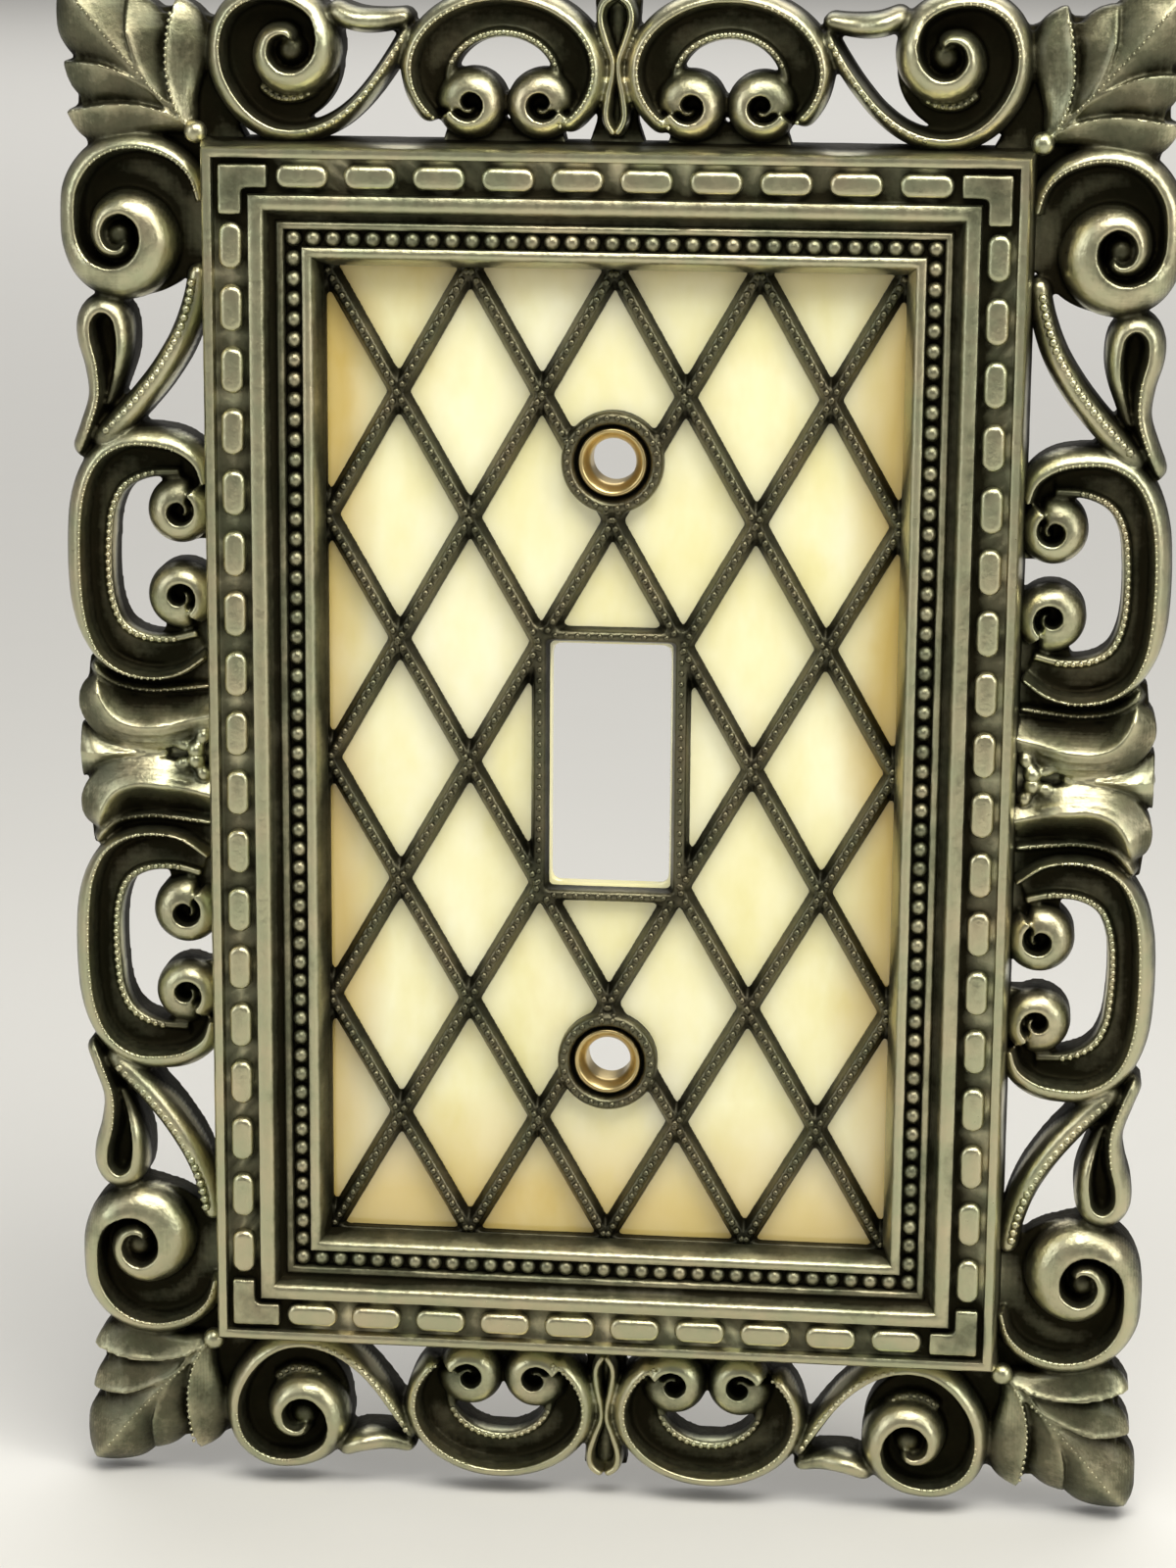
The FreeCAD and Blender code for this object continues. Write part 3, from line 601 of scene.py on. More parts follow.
# The leaf across the middle of the long side: half of it, up to its spine.
def crossingLeaf(relief):
    low, mid, high, web = border["low"], border["mid"], border["high"], border["web"]
    relief.prism([(38.5, -1.5), (52.6, -1.5), (53.2, 0), (52.6, 1.8), (52.2, 4.5), (52.3, 7.2), (52.0, 9.6),
                  (38.5, 9.6)], 0, web)
    crest = relief.stroke([(39.6, 7.0, 0.5, 0.5, low), (43.0, 6.6, 0.5, 0.5, low), (46.0, 6.4, 0.5, 0.5, low),
                           (49.0, 6.9, 0.6, 0.6, low), (50.7, 8.1, 0.9, 0.9, mid),
                           (51.4, 9.4, 0.9, 0.9, mid)], lobeSection, base=web)
    relief.stroke([(39.4, 4.1, 1.8, 1.6, mid), (42.0, 3.5, 2.2, 2.0, mid), (44.5, 3.0, 2.6, 2.5, high),
                   (47.0, 2.9, 2.8, 2.6, high), (49.0, 3.6, 2.5, 2.8, high), (50.2, 4.9, 2.2, 2.8, high),
                   (50.8, 6.4, 1.8, 2.4, high), (51.1, 8.0, 1.2, 1.8, mid)], valleySection, base=web,
                  blunt=(False, True))
    for drop, top in ((0.8, high - 0.42), (1.6, high - 1.0)):
        relief.stroke([(41.5, 3.6 - drop, 0.3, 0.3, top - 0.6), (44.5, 3.0 - drop, 0.35, 0.35, top),
                       (47.0, 2.9 - drop, 0.35, 0.35, top), (49.3, 3.5 - drop, 0.35, 0.35, top),
                       (51.0, 5.0 - drop, 0.3, 0.3, top - 0.3)], lobeSection, base=web)
    relief.stroke([(44.0, 0, 0.5, 0.5, 3.8), (47.0, 0, 0.7, 0.7, 4.4), (50.0, 0, 1.4, 1.4, mid),
                   (51.8, 0, 2.4, 2.4, mid), (53.0, 0, 2.8, 2.8, low)], lobeSection, base=web,
                  blunt=(True, False))
    relief.ball(41.2, 0.5, 4.2, 0.95)
    relief.ball(42.6, 1.0, 3.8, 0.75)
    relief.ball(40.5, 1.9, 4.0, 0.8)
    return alongPath(crest, 0, 0.7, low - 0.06, 0.19, 0.1, 0.75)


# Five lobes that fan out of a bead at the moulding's corner, alike on both sides of the mitre.
def cornerLeaf(relief):
    ex, ey = plate["edgeX"], plate["edgeY"]
    mid, high, web = border["mid"], border["high"], border["web"]
    lobes = [[(0.5, 0.9, 0.9), (3.1, 2.3, 2.2), (6.1, 3.0, 3.6), (9.3, 2.9, 4.3), (13.1, 2.2, 3.8)],
             [(0.9, 1.6, 0.9), (4.1, 4.2, 2.2), (7.1, 5.9, 3.4), (9.8, 6.8, 4.3), (13.3, 6.9, 4.2)]]
    beads = []
    for number, lobe in enumerate(lobes):
        tops = [mid, high, high, high, mid]
        relief.stroke([(ex + x, ey + y, out, 0.45, top) for (x, y, out), top in zip(lobe, tops)],
                      bladeSection, -1, base=web)
        trail = relief.stroke([(ex + y, ey + x, out, 0.45, top) for (x, y, out), top in zip(lobe, tops)],
                              bladeSection, 1, base=web)
        if number == 0:
            beads += alongPath(trail, 0.05, 0.66, high - 0.12, 0.21, 0.1, 0.9)
    vein = relief.stroke([(ex + 1.3, ey + 1.5, 0.8, 0.8, mid), (ex + 5.0, ey + 5.2, 2.2, 2.2, high),
                          (ex + 8.4, ey + 8.9, 3.9, 3.9, high), (ex + 11.0, ey + 12.0, 3.8, 3.8, high),
                          (ex + 13.2, ey + 14.6, 1.6, 1.6, mid)], lobeSection, base=web)
    beads += alongPath(vein, 0, 0.66, high - 0.1, 0.21, 0.15, 0.85)
    fan = [(1.0, 2.2), (1.2, 11.2), (6.5, 12.2), (10.5, 11.4)]
    relief.prism([(ex + x, ey + y) for x, y in fan] + [(ex + y, ey + x) for x, y in reversed(fan)],
                 0, border["low"] - 0.2)
    half = [(-1.5, 8.0), (-1.2, 11.2), (2.2, 12.2), (6.5, 12.0), (9.5, 11.6)]
    relief.prism([(ex - 5, ey - 1.5), (ex - 2.4, ey + 3)] + [(ex + x, ey + y) for x, y in half]
                 + [(ex + 12, ey + 12.6)] + [(ex + y, ey + x) for x, y in reversed(half)]
                 + [(ex + 3, ey - 2.4), (ex - 1.5, ey - 5)], 0, web)
    relief.ball(ex + 0.3, ey + 0.5, 4.9, 1.15)
    return beads


# The volute of the short side, whose rim runs on as a beaded rod, and the small leaf that joins it.
def endVolute(relief):
    mid, high, crown, web = border["mid"], border["high"], border["crown"], border["web"]
    ridge = [(19.8, 71.5, 0.9, mid), (21.5, 68.6, 1.1, high), (23.5, 65.8, 1.15, high),
             (25.5, 63.7, 1.2, high), (27.8, 62.2, 1.3, high), (30.5, 61.5, 1.4, high),
             (33.1, 61.9, 1.5, high), (35.5, 63.6, 1.6, high), (37.3, 66.5, 1.6, high),
             (37.7, 69.5, 1.5, high), (36.7, 72.2, 1.5, high), (34.3, 73.7, 1.5, high),
             (31.3, 73.6, 1.5, high), (29.1, 72.3, 1.7, high), (28.3, 70.2, 2.0, crown),
             (28.7, 68.3, 2.3, crown), (30.1, 67.0, 2.4, crown), (31.9, 67.1, 2.3, crown),
             (33.0, 68.4, 1.9, crown),
             (32.7, 70.0, 1.5, crown), (31.4, 70.5, 1.1, crown), (30.5, 69.7, 0.8, crown)]
    rim = relief.stroke([(x, y, out, 0.65, top) for x, y, out, top in ridge], ridgeSection, -1, base=web,
                        step=0.3, blunt=(True, True))
    relief.disc(32.5, 68.0, 6.1, web)
    relief.ball(31.0, 69.0, 3.7, 1.5)
    ledge = relief.stroke([(28.6, 65.4, 0.5, 0.5, border["low"]), (30.3, 64.5, 0.5, 0.5, border["low"]),
                           (32.4, 64.5, 0.5, 0.5, border["low"]), (34.2, 65.7, 0.5, 0.5, border["low"])],
                          barSection, base=web)
    beads = alongPath(rim, 0.1, 0.62, high - 0.08, 0.2, 0.5, 0.66)
    beads += alongPath(rim, 0.3, 0.85, high - 0.3, 0.36, 0.02, 0.26)
    beads += alongPath(ledge, 0, 0.72, border["low"] - 0.05, 0.3, 0.1, 0.9)
    relief.stroke([(19.4, 72.3, 0.9, 0.9, mid), (22.2, 71.8, 1.2, 1.1, mid), (24.9, 71.9, 1.3, 1.2, high),
                   (27.6, 73.1, 1.1, 1.1, mid)], barSection, base=web)
    return beads


# The ring over the short side, curled in at both ends, with a beaded lip above its opening.
def ringScroll(relief):
    high, web = border["high"], border["web"]
    x, y, wide, tall = 10.75, 67.3, 8.6, 6.6
    ridge = []
    for angle in range(232, -53, -12):
        turn = math.radians(angle)
        out = 1.35 if angle > 0 else 1.2
        ridge.append((x + wide * math.cos(turn), y + tall * math.sin(turn), out, 0.8, high))
    rim = relief.stroke(ridge, ridgeSection, base=web, blunt=(True, True))
    lip = [(x + 5.2 * math.cos(math.radians(a)), y - 0.9 + 4.4 * math.sin(math.radians(a)))
           for a in range(200, -21, -10)]
    relief.stroke([(px, py, 3.0, 0.4, web + 0.3) for px, py in lip], [(-1, 1.0), (0, 1.0), (1, 0.9)],
                  base=web - 0.4, blunt=(False, False))
    edge = relief.stroke([(px, py, 0.5, 0.45, border["low"]) for px, py in lip], barSection, base=web,
                         blunt=(False, False))
    snail(relief, x - 3.7, 64.2, 3.4, 200, 1, high)
    snail(relief, x + 3.1, 64.2, 3.4, -20, -1, high)
    relief.prism([(4.5, 59.5), (17.0, 59.5), (16.0, 62.5), (5.5, 62.5)], 0, web)
    beads = []
    for start, end in ((0.0, 0.3), (0.6, 1.0)):
        beads += alongPath(rim, 0.1, 0.66, high - 0.08, 0.23, start, end)
    beads += alongPath(edge, 0.05, 0.75, border["low"] - 0.05, 0.32, 0.15, 0.85)
    return beads


# Half of the ribbon between the two rings, looped above and below its waist.
def stem(relief):
    mid, web = border["mid"], border["web"]
    relief.stroke([(0.0, 74.4, 0.55, 0.5, mid), (1.2, 73.5, 0.55, 0.5, mid), (1.45, 72.0, 0.55, 0.5, mid),
                   (0.9, 70.0, 0.5, 0.5, mid), (0.3, 68.4, 0.5, 0.4, mid), (0.3, 67.0, 0.5, 0.4, mid),
                   (0.75, 64.8, 0.5, 0.5, mid), (0.85, 62.8, 0.5, 0.5, mid), (0.0, 61.2, 0.5, 0.5, mid)],
                  barSection, base=web)
    relief.prism([(-2, 59.5), (3, 59.5), (2.0, 62.5), (1.4, 66), (2.0, 71), (2.2, 74), (-2, 74)],
                 0, web - 0.6)


def quarterBorder():
    relief = Relief()
    beads = sideScroll(relief) + dropAndRod(relief) + sideVolute(relief) + crossingLeaf(relief)
    beads += cornerLeaf(relief) + endVolute(relief) + ringScroll(relief)
    stem(relief)
    piece = cavityCast(relief.build("scrollQuarter"), border["voxel"], 1)
    activate(piece)
    bpy.ops.object.mode_set(mode="EDIT")
    for normal in ((1, 0, 0), (0, 1, 0)):
        bpy.ops.mesh.select_all(action="SELECT")
        bpy.ops.mesh.bisect(plane_co=(0, 0, 0), plane_no=normal, use_fill=True, clear_inner=True)
    bpy.ops.object.mode_set(mode="OBJECT")
    smoothShade(piece, 60)
    beadPiece = beadsAt("scrollBeads", [b for b in beads if b[0] > 0.25 and b[1] > 0.25])
    smoothShade(beadPiece, 80)
    return joinPieces("scrollQuarter", [piece, beadPiece])


def scrollBorder():
    quarter = quarterBorder()
    # Patina with painted shade in the hollows and painted highlight on the crests.
    paintPatinaAndShade([quarter])
    names = {(1, 1): "scrollUpperRight", (-1, 1): "scrollUpperLeft",
             (1, -1): "scrollLowerRight", (-1, -1): "scrollLowerLeft"}
    for (signX, signY), name in names.items():
        piece = mirrorPiece(quarter, name, signX, signY)
        finishPiece(piece, finishes["casting"], "cast_scroll_frame")
    bpy.data.objects.remove(quarter)
    print("scroll border made, faces per quarter:", len(piece.data.polygons))


# Moulding: a mitred sweep with rounded steps, pills in a band and a row of beads

moulding = {
    "profile": [
        (0.0, 4.6), (0.12, 5.0), (0.75, 6.55), (0.95, 6.85), (1.2, 7.0), (1.55, 7.0), (1.8, 6.85),
        (1.92, 6.5), (1.98, 5.95), (2.2, 5.85), (2.7, 5.8), (3.2, 5.85), (3.42, 5.95), (3.5, 6.5),
        (3.62, 6.85), (3.85, 7.0), (4.1, 7.0), (4.3, 6.85), (4.42, 6.55), (4.6, 6.6), (4.85, 6.75),
        (5.1, 7.1), (5.3, 7.55), (5.42, 7.8), (5.7, 7.98), (6.1, 8.0), (6.5, 7.98), (6.78, 7.85),
        (6.92, 7.5), (6.98, 6.98), (7.2, 6.88), (8.6, 6.86), (9.95, 6.88), (10.2, 6.98), (10.26, 7.5),
        (10.36, 7.85), (10.6, 7.98), (10.85, 8.0), (11.1, 7.96), (11.28, 7.75), (11.4, 7.3),
        (11.65, 5.6), (11.9, 3.6), (11.98, 2.0), (12.0, 0.25), (11.8, 0.0),
        (9.6, 0.0), (9.5, 0.1), (9.5, 1.5), (6.0, 1.5), (6.0, 4.6)],
    "pillMiddle": 8.6, "pillWidth": 2.3, "pillFloor": 6.5, "pillTop": 7.86,
    "pillsShort": 10, "pillsLong": 18, "gap": 1.45, "cornerLeg": 4.8,
    "pillRound": 0.46, "pillSoft": 0.62, "pillVoxel": 0.18,
    "beadMiddle": 2.7, "beadHeight": 6.15, "beadRadius": 0.86, "beadPitch": 1.93, "station": 0.8,
}


# Each corner gets the profile, and each side is cut into short lengths so that it can be uneven.
def mouldingBody():
    profile = moulding["profile"]
    sx, sy = plate["sightX"], plate["sightY"]
    corners = [(-1, -1), (1, -1), (1, 1), (-1, 1)]
    points = []
    faces = []
    ring = len(profile)
    stations = []
    for side in range(4):
        here, there = corners[side], corners[(side + 1) % 4]
        length = 2 * (sx if side % 2 == 0 else sy)
        count = int(length / moulding["station"])
        stations += [(here, there, i / count) for i in range(count)]
    for here, there, t in stations:
        for out, z in profile:
            x0, y0 = here[0] * (sx + out), here[1] * (sy + out)
            x1, y1 = there[0] * (sx + out), there[1] * (sy + out)
            points.append((x0 + (x1 - x0) * t, y0 + (y1 - y0) * t, z))
    total = len(stations)
    for i in range(total):
        for j in range(ring):
            k = (j + 1) % ring
            n = (i + 1) % total
            faces.append((i * ring + j, n * ring + j, n * ring + k, i * ring + k))
    piece = newMesh("castMoulding", points, faces)
    outwards(piece)
    clouds = bpy.data.textures.new("mouldingClouds", "CLOUDS")
    clouds.noise_scale = 2.0
    applyModifier(piece, "DISPLACE", texture=clouds, strength=0.07, mid_level=0.5)
    smoothShade(piece, 38)
    return piece


# A pill along X: a block with its corners rounded away and its top softened.
def onePill(length, width):
    clearSelection()
    low, high = moulding["pillFloor"], moulding["pillTop"]
    bpy.ops.mesh.primitive_cube_add(size=1, location=(0, 0, (low + high) / 2))
    pill = bpy.context.object
    pill.scale = (length, width, high - low)
    bpy.ops.object.transform_apply(location=True, rotation=False, scale=True)
    bevelEdges(pill, lambda a, b: abs(a.z - b.z) > 0.5, width * moulding["pillRound"], 5)
    bevelEdges(pill, lambda a, b: a.z > high - 0.01 and b.z > high - 0.01, moulding["pillSoft"], 5)
    return pill


# Bevels the edges whose two ends pass the test.
def bevelEdges(piece, chosen, width, segments):
    activate(piece)
    bpy.ops.object.mode_set(mode="EDIT")
    bpy.ops.mesh.select_all(action="DESELECT")
    bpy.ops.mesh.select_mode(type="EDGE")
    bpy.ops.object.mode_set(mode="OBJECT")
    for edge in piece.data.edges:
        a, b = (piece.data.vertices[i].co for i in edge.vertices)
        edge.select = bool(chosen(a, b))
    bpy.ops.object.mode_set(mode="EDIT")
    bpy.ops.mesh.bevel(offset=width, segments=segments, profile=0.5, affect="EDGES", clamp_overlap=True)
    bpy.ops.object.mode_set(mode="OBJECT")


def mouldingPills():
    pieces = []
    middleX = plate["sightX"] + moulding["pillMiddle"]
    middleY = plate["sightY"] + moulding["pillMiddle"]
    reachX = middleX - moulding["cornerLeg"] + moulding["pillWidth"] / 2
    reachY = middleY - moulding["cornerLeg"] + moulding["pillWidth"] / 2
    for count, reach, middle, upright in ((moulding["pillsShort"], reachX, middleY, False),
                                          (moulding["pillsLong"], reachY, middleX, True)):
        pitch = 2 * reach / count
        master = onePill(pitch - moulding["gap"], moulding["pillWidth"])
        if upright:
            master.data.transform(Matrix.Rotation(math.pi / 2, 4, "Z"))
        for i in range(count):
            place = -reach + pitch * (i + 0.5)
            for side in (-1, 1):
                twin = duplicatePiece(master, "pill")
                shift = (side * middle, place, 0) if upright else (place, side * middle, 0)
                twin.data.transform(Matrix.Translation(shift))
                pieces.append(twin)
        bpy.data.objects.remove(master)
    pieces += cornerPills(middleX, middleY)
    whole = joinPieces("mouldingPills", pieces)
    clouds = bpy.data.textures.new("pillClouds", "CLOUDS")
    clouds.noise_scale = 1.6
    applyModifier(whole, "DISPLACE", texture=clouds, strength=0.12, mid_level=0.5)
    smoothShade(whole, 60)
    return whole


# L-shaped pills at the four mitres, melted from two crossing bars.
def cornerPills(middleX, middleY):
    half = moulding["pillWidth"] / 2
    leg = moulding["cornerLeg"] - half
    relief = Relief()
    for run in ([(-leg, 0), (0, 0)], [(0, 0), (0, -leg)]):
        (x0, y0), (x1, y1) = run
        relief.prism([(min(x0, x1) - half * (y0 != y1), min(y0, y1) - half * (x0 != x1)),
                      (max(x0, x1) + half, min(y0, y1) - half * (x0 != x1)),
                      (max(x0, x1) + half, max(y0, y1) + half),
                      (min(x0, x1) - half * (y0 != y1), max(y0, y1) + half)],
                     moulding["pillFloor"], moulding["pillTop"] + 0.05)
    master = relief.build("cornerPill")
    applyModifier(master, "REMESH", mode="VOXEL", voxel_size=moulding["pillVoxel"])
    applyModifier(master, "SMOOTH", factor=0.6, iterations=11)
    pieces = []
    for signX in (-1, 1):
        for signY in (-1, 1):
            twin = mirrorPiece(master, "cornerPill", signX, signY)
            twin.data.transform(Matrix.Translation((signX * middleX, signY * middleY, 0)))
            pieces.append(twin)
    bpy.data.objects.remove(master)
    return pieces


# A row of beads in the channel, evenly spread along each side between the corner beads.
def mouldingBeads():
    x = plate["sightX"] + moulding["beadMiddle"]
    y = plate["sightY"] + moulding["beadMiddle"]
    z, radius = moulding["beadHeight"], moulding["beadRadius"]
    places = []
    for reach, other, upright in ((x, y, False), (y, x, True)):
        count = round(2 * reach / moulding["beadPitch"])
        for i in range(count if upright else count + 1):
            place = -reach + 2 * reach * i / count
            if upright and i == 0:
                continue
            for side in (-1, 1):
                spot = (side * other, place) if upright else (place, side * other)
                places.append((*spot, z, radius))
    piece = beadsAt("mouldingBeads", places, 2)
    smoothShade(piece, 80)
    return piece


def mouldingPieces():
    pieces = [mouldingBody(), mouldingPills(), mouldingBeads()]
    # Patina with painted shade and highlight: the pills are lifted lighter, partly wear and partly painted
    # highlight; the beads are set darker, partly patina and partly painted shade.
    paintPatinaAndShade(pieces, cell=0.2, reach=4, gain=0.56, rubbedAndLit={"mouldingPills": 0.1, "mouldingBeads": -0.06})
    for piece in pieces:
        finishPiece(piece, finishes["casting"], "cast_scroll_frame")
    print("moulding made")


# Grille: sloped bars with a beaded crest over a flat rim, collars round the screw holes

grille = {"across": 4, "up": 4, "foot": 1.0, "crest": 0.42, "beadPitch": 0.95, "beadRadius": 0.44,
          "surroundX": 0.95, "surroundY": 0.8, "surroundPitch": 1.05, "surroundBead": 0.36,
          "collar": 5.0, "well": 3.7, "wellFloor": 3.8,
          "collarBeads": 26, "collarBeadRing": 4.4, "collarBead": 0.4, "voxel": 0.24}


# The diagonal lines of the diamonds, clipped to the sight opening, as (x0, y0, x1, y1).
def grilleLines():
    sx, sy = plate["sightX"], plate["sightY"]
    pitchX, pitchY = 2 * sx / grille["across"], 2 * sy / grille["up"]
    lines = []
    reach = grille["across"]
    for k in range(-reach + 1, reach):
        for lean in (1, -1):
            x0, y0 = -sx, lean * (k * pitchY + sx * pitchY / pitchX)
            x1, y1 = sx, lean * (k * pitchY - sx * pitchY / pitchX)
            t0, t1 = 0.0, 1.0
            dy = y1 - y0
            for limit in (-sy, sy):
                t = (limit - y0) / dy
                if 0 < t < 1:
                    inside = (y1 > limit) if limit < 0 else (y1 < limit)
                    if inside:
                        t0 = max(t0, t)
                    else:
                        t1 = min(t1, t)
            lines.append((x0 + (x1 - x0) * t0, y0 + dy * t0, x0 + (x1 - x0) * t1, y0 + dy * t1))
    return lines


# A straight bar: half width foot at its base, half width crest near its ridge.
def barSolid(relief, x0, y0, x1, y1, foot, crest, low, high):
    along = np.array([x1 - x0, y1 - y0])
    along /= np.linalg.norm(along)
    side = np.array([-along[1], along[0]])
    section = [(-foot, low), (-foot * 0.96, low + 0.35), (-crest, high - 0.12), (0, high),
               (crest, high - 0.12), (foot * 0.96, low + 0.35), (foot, low)]
    points = [(*(np.array(end) + side * a), z) for end in ((x0, y0), (x1, y1)) for a, z in section]
    count = len(section)
    faces = [(i, (i + 1) % count, count + (i + 1) % count, count + i) for i in range(count)]
    faces += [tuple(range(count)), tuple(range(count, 2 * count))]
    relief.add(points, faces)


# Cuts a bar short where it meets the slot's surround or a collar; gives back the pieces left.
def clipToFrame(x0, y0, x1, y1):
    slotX, slotY = plate["slotX"] + 0.9, plate["slotY"] + 0.8
    stops = np.linspace(0, 1, 1201)
    x, y = x0 + (x1 - x0) * stops, y0 + (y1 - y0) * stops
    free = (np.abs(x) > slotX) | (np.abs(y) > slotY)
    for side in (-1, 1):
        free &= np.hypot(x, y - side * plate["screwY"]) > grille["collar"] - 0.6
    edges = np.flatnonzero(np.diff(np.concatenate([[0], free.astype(int), [0]])))
    return [(x[a], y[a], x[b - 1], y[b - 1]) for a, b in zip(edges[::2], edges[1::2]) if b - a > 8]


# The turned collar round a screw hole: a raised ring, a well and the clearance hole.
def collarRing(relief, y):
    low, high, hole = plate["pearlTop"], plate["grilleTop"], plate["eyeletHole"]
    outline = [(hole, low), (grille["collar"], low), (grille["collar"], high - 0.2), (4.85, high + 0.1),
               (4.6, high + 0.32), (4.2, high + 0.34), (3.9, high + 0.15), (grille["well"], high - 0.2),
               (grille["well"], grille["wellFloor"]), (hole, grille["wellFloor"])]
    steps = 64
    points = [(r * math.cos(2 * math.pi * i / steps), y + r * math.sin(2 * math.pi * i / steps), z)
              for i in range(steps) for r, z in outline]
    count = len(outline)
    faces = [(i * count + j, (i + 1) % steps * count + j, (i + 1) % steps * count + (j + 1) % count,
              i * count + (j + 1) % count) for i in range(steps) for j in range(count)]
    relief.add(points, faces)


def latticeGrille():
    sx, sy = plate["sightX"], plate["sightY"]
    low, high = plate["pearlTop"], plate["grilleTop"]
    slotX, slotY = plate["slotX"], plate["slotY"]
    outer = plate["rebate"] - 0.25
    barX, barY = grille["surroundX"], grille["surroundY"]
    small, pitch = grille["surroundBead"], grille["surroundPitch"]
    around, ringRadius = grille["collarBeads"], grille["collarBeadRing"]
    relief = Relief()
    beads = []
    for line in grilleLines():
        for x0, y0, x1, y1 in clipToFrame(*line):
            barSolid(relief, x0, y0, x1, y1, grille["foot"], grille["crest"], low, high - 0.12)
            count = max(1, int(math.hypot(x1 - x0, y1 - y0) / grille["beadPitch"]))
            beads += [(x0 + (x1 - x0) * (i + 0.5) / count, y0 + (y1 - y0) * (i + 0.5) / count,
                       high - 0.14, grille["beadRadius"]) for i in range(count)]
    for side in (-1, 1):
        x = side * (slotX + barX)
        y = side * (slotY + barY)
        barSolid(relief, x, -slotY - 2 * barY, x, slotY + 2 * barY, barX, 0.5, low, high)
        barSolid(relief, -slotX - 2 * barX, y, slotX + 2 * barX, y, barY, grille["crest"], low, high)
        relief.prism([(side * sx, -sy - outer), (side * (sx + outer), -sy - outer),
                      (side * (sx + outer), sy + outer), (side * sx, sy + outer)], low, high - 0.3)
        relief.prism([(-sx - outer, side * sy), (sx + outer, side * sy),
                      (sx + outer, side * (sy + outer)), (-sx - outer, side * (sy + outer))], low, high - 0.3)
        count = round(2 * slotY / pitch)
        beads += [(x, -slotY + 2 * slotY * (i + 0.5) / count, high - 0.12, small) for i in range(count)]
        count = round(2 * slotX / pitch)
        beads += [(-slotX + 2 * slotX * (i + 0.5) / count, y, high - 0.12, small) for i in range(count)]
        collarY = side * plate["screwY"]
        collarRing(relief, collarY)
        beads += [(ringRadius * math.cos(2 * math.pi * i / around),
                   collarY + ringRadius * math.sin(2 * math.pi * i / around),
                   high + 0.18, grille["collarBead"]) for i in range(around)]
    piece = cavityCast(relief.build("latticeGrille"), grille["voxel"], 1, 0.04)
    smoothShade(piece, 55)
    beadPiece = beadsAt("grilleBeads", beads)
    smoothShade(beadPiece, 80)
    whole = joinPieces("latticeGrille", [piece, beadPiece])
    # Patina with painted shade in the hollows and painted highlight on the crests.
    paintPatinaAndShade([whole], gain=0.3)
    finishPiece(whole, finishes["grille"], "lattice_grille")
    print("grille made, faces:", len(whole.data.polygons), "beads:", len(beads))


# Pearl panel: one sheet that swells a little in every diamond

pearl = {"pitch": 0.55, "swell": 0.22}


def pearlPanel():
    outerX = plate["sightX"] + plate["rebate"] - 0.2
    outerY = plate["sightY"] + plate["rebate"] - 0.2
    clearSelection()
    bpy.ops.mesh.primitive_cube_add(size=1, location=(0, 0, (plate["plateTop"] + plate["pearlTop"]) / 2))
    piece = bpy.context.object
    piece.name = "pearlPanel"
    piece.scale = (2 * outerX, 2 * outerY, plate["pearlTop"] - plate["plateTop"])
    bpy.ops.object.transform_apply(location=True, rotation=False, scale=True)
    holes = Relief()
    slotX, slotY = plate["slotX"] - 0.2, plate["slotY"] - 0.2
    holes.prism([(-slotX, -slotY), (slotX, -slotY), (slotX, slotY), (-slotX, slotY)], 0, 5)
    for side in (-1, 1):
        holes.disc(0, side * plate["screwY"], plate["eyeletHole"], 5, 0)
    cutter = holes.build("pearlCutter")
    outwards(cutter)
    applyModifier(piece, "BOOLEAN", object=cutter, operation="DIFFERENCE", solver="EXACT")
    bpy.data.objects.remove(cutter)
    applyModifier(piece, "REMESH", mode="VOXEL", voxel_size=pearl["pitch"])
    pitchX = 2 * plate["sightX"] / grille["across"]
    pitchY = 2 * plate["sightY"] / grille["up"]
    mesh = piece.data
    co = positions(piece)
    top = co[:, 2] > plate["pearlTop"] - 0.4
    s = co[:, 0] / pitchX + co[:, 1] / pitchY
    t = co[:, 0] / pitchX - co[:, 1] / pitchY
    dome = np.abs(np.sin(math.pi * s) * np.sin(math.pi * t)) ** 0.6
    co[:, 2] += top * dome * pearl["swell"]
    mesh.vertices.foreach_set("co", co.ravel())
    smoothShade(piece, 50)
    finishPiece(piece, finishes["pearl"], "pearl_panel")
    print("pearl panel made, faces:", len(mesh.polygons))


# Eyelets: a turned profile spun round the screw hole

eyelet = {
    "profile": [(2.2, 0.25), (3.6, 0.2), (3.7, 0.35), (3.62, 0.6), (2.7, 0.7), (2.7, 3.8), (3.25, 3.82),
                (3.36, 3.98), (3.34, 4.2), (3.2, 4.36), (3.0, 4.36), (2.84, 4.22), (2.62, 3.9),
                (2.42, 3.6), (2.25, 3.3), (2.2, 3.0)],
    "steps": 56,
}


def screwEyelet(name, node, side):
    outline = eyelet["profile"]
    edges = [(i, (i + 1) % len(outline)) for i in range(len(outline))]
    piece = newMesh(name, [(r, 0, z) for r, z in outline], [], edges)
    activate(piece)
    bpy.ops.object.mode_set(mode="EDIT")
    bpy.ops.mesh.select_all(action="SELECT")
    bpy.ops.mesh.spin(steps=eyelet["steps"], angle=2 * math.pi, center=(0, 0, 0), axis=(0, 0, 1))
    bpy.ops.object.mode_set(mode="OBJECT")
    outwards(piece)
    piece.data.transform(Matrix.Translation((0, side * plate["screwY"], 0)))
    smoothShade(piece, 50)
    finishPiece(piece, finishes["brass"], node)


# Plate and screws keep their solids and only get a finish

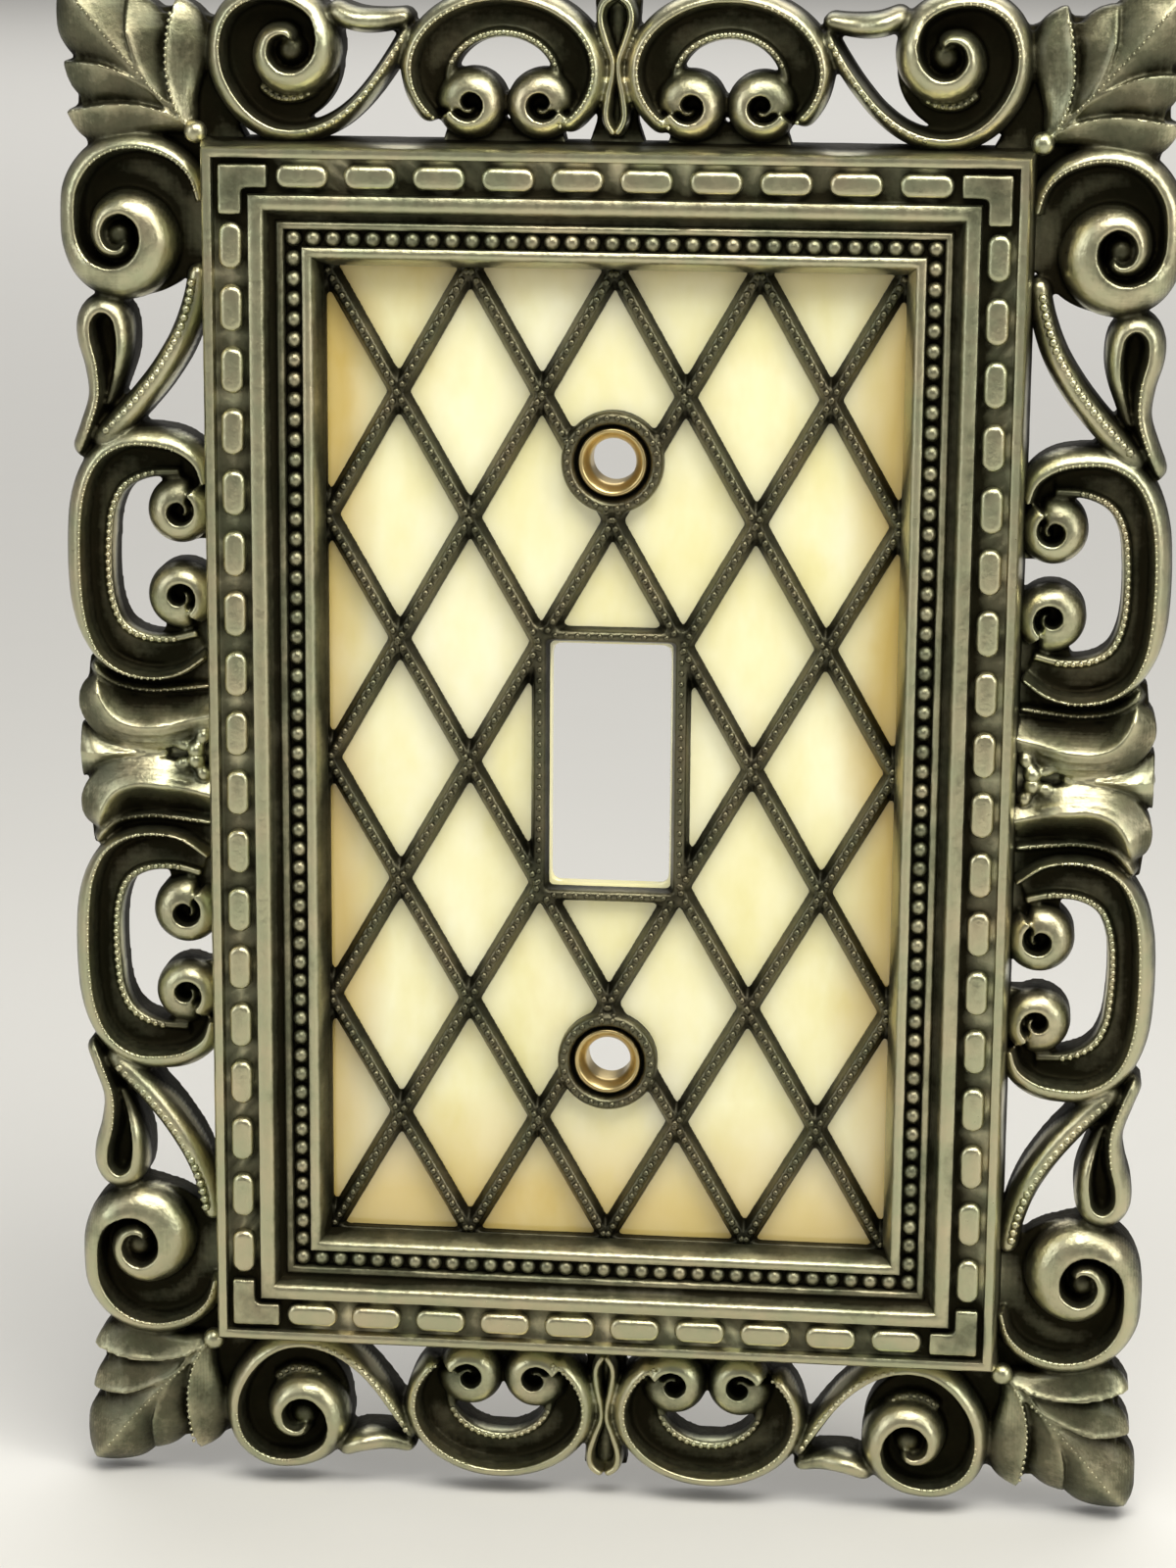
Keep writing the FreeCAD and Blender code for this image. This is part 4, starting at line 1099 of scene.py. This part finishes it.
def finishCadNodes():
    for name, finish in (("backing_plate", "zinc"), ("upper_left_plate_screw", "screw"),
                         ("upper_right_plate_screw", "screw"), ("lower_left_plate_screw", "screw"),
                         ("lower_right_plate_screw", "screw")):
        node = nodes[name]
        node.data.materials.clear()
        node.data.materials.append(finishes[finish])


# Stage, lamps and camera

stage = {"floorZ": -0.0768, "half": 7.0, "pale": (0.66, 0.65, 0.62), "roomLight": 0.24}


# A flat floor that runs past the top of the picture, with nothing standing round the object.
def paleFloor():
    half, floorZ = stage["half"], stage["floorZ"]
    floor = newMesh("floor", [(-half, -half, floorZ), (half, -half, floorZ), (half, half, floorZ),
                              (-half, half, floorZ)], [(0, 1, 2, 3)])
    look = Shader("paleFloor", Roughness=0.85)
    grain = look.noise(60, 4, 0.5)
    look.set(Base_Color=look.mix(grain, tuple(c * 0.985 for c in stage["pale"]), stage["pale"]))
    floor.data.materials.append(look.material)


# A dim even light from all round, which the camera sees as the floor's own pale colour.
def studioWorld():
    world = bpy.data.worlds.new("studio")
    bpy.context.scene.world = world
    world.use_nodes = True
    tree = world.node_tree
    tree.nodes.clear()
    out = tree.nodes.new("ShaderNodeOutputWorld")
    seen = tree.nodes.new("ShaderNodeBackground")
    seen.inputs["Color"].default_value = (*stage["pale"], 1)
    seen.inputs["Strength"].default_value = 1.0
    lit = tree.nodes.new("ShaderNodeBackground")
    lit.inputs["Color"].default_value = (1, 0.98, 0.95, 1)
    lit.inputs["Strength"].default_value = stage["roomLight"]
    rays = tree.nodes.new("ShaderNodeLightPath")
    mixed = tree.nodes.new("ShaderNodeMixShader")
    tree.links.new(rays.outputs["Is Camera Ray"], mixed.inputs[0])
    tree.links.new(lit.outputs[0], mixed.inputs[1])
    tree.links.new(seen.outputs[0], mixed.inputs[2])
    tree.links.new(mixed.outputs[0], out.inputs[0])


def softLamp(name, place, aim, size, power, colour=(1, 1, 1)):
    lamp = bpy.data.lights.new(name, "AREA")
    lamp.shape = "RECTANGLE"
    lamp.size, lamp.size_y = size
    lamp.energy = power
    lamp.color = colour
    holder = bpy.data.objects.new(name, lamp)
    bpy.context.scene.collection.objects.link(holder)
    holder.location = place
    holder.rotation_euler = (Vector(aim) - Vector(place)).to_track_quat("-Z", "Y").to_euler()


def studioLamps():
    softLamp("keyAbove", (0.1, -0.2, 0.36), (0, 0, 0.02), (0.45, 0.22), 2.3, (1, 0.98, 0.92))
    softLamp("fillLeft", (-0.5, -0.35, 0.22), (0, 0, 0.02), (0.25, 0.45), 0.95, (0.95, 0.98, 1))
    softLamp("fillRight", (0.5, -0.3, 0.2), (0, 0, 0.03), (0.2, 0.35), 1.1, (1, 0.99, 0.96))
    softLamp("floorWash", (0, 2.3, 2.0), (0, 2.3, 0), (3.0, 3.0), 62, (1, 0.99, 0.97))


# The photograph's view: fitted place, direction and focal length in pixels of a 1200 x 1600 picture
view = {"place": (0.0358, -0.3776, 0.0867), "forward": (-0.0984, 0.9683, -0.2294),
        "up": (-0.0306, 0.2275, 0.9733), "focalPixels": 4000, "widthPixels": 1200,
        "sensorWidth": 36}


def photoCamera():
    data = bpy.data.cameras.new("photoView")
    data.sensor_fit = "HORIZONTAL"
    data.sensor_width = view["sensorWidth"]
    data.lens = view["sensorWidth"] * view["focalPixels"] / view["widthPixels"]
    data.clip_start = 0.01
    camera = bpy.data.objects.new("photoView", data)
    bpy.context.scene.collection.objects.link(camera)
    back = -Vector(view["forward"]).normalized()
    right = Vector(view["up"]).cross(back).normalized()
    up = back.cross(right)
    turn = Matrix((right, up, back)).transposed().to_4x4()
    camera.matrix_world = Matrix.Translation(view["place"]) @ turn
    bpy.context.scene.camera = camera


scrollBorder()
mouldingPieces()
latticeGrille()
pearlPanel()
screwEyelet("upperEyelet", "upper_screw_eyelet", 1)
screwEyelet("lowerEyelet", "lower_screw_eyelet", -1)
finishCadNodes()
paleFloor()
studioWorld()
studioLamps()
photoCamera()
bpy.context.scene.view_settings.view_transform = "Standard"
print("scene made")
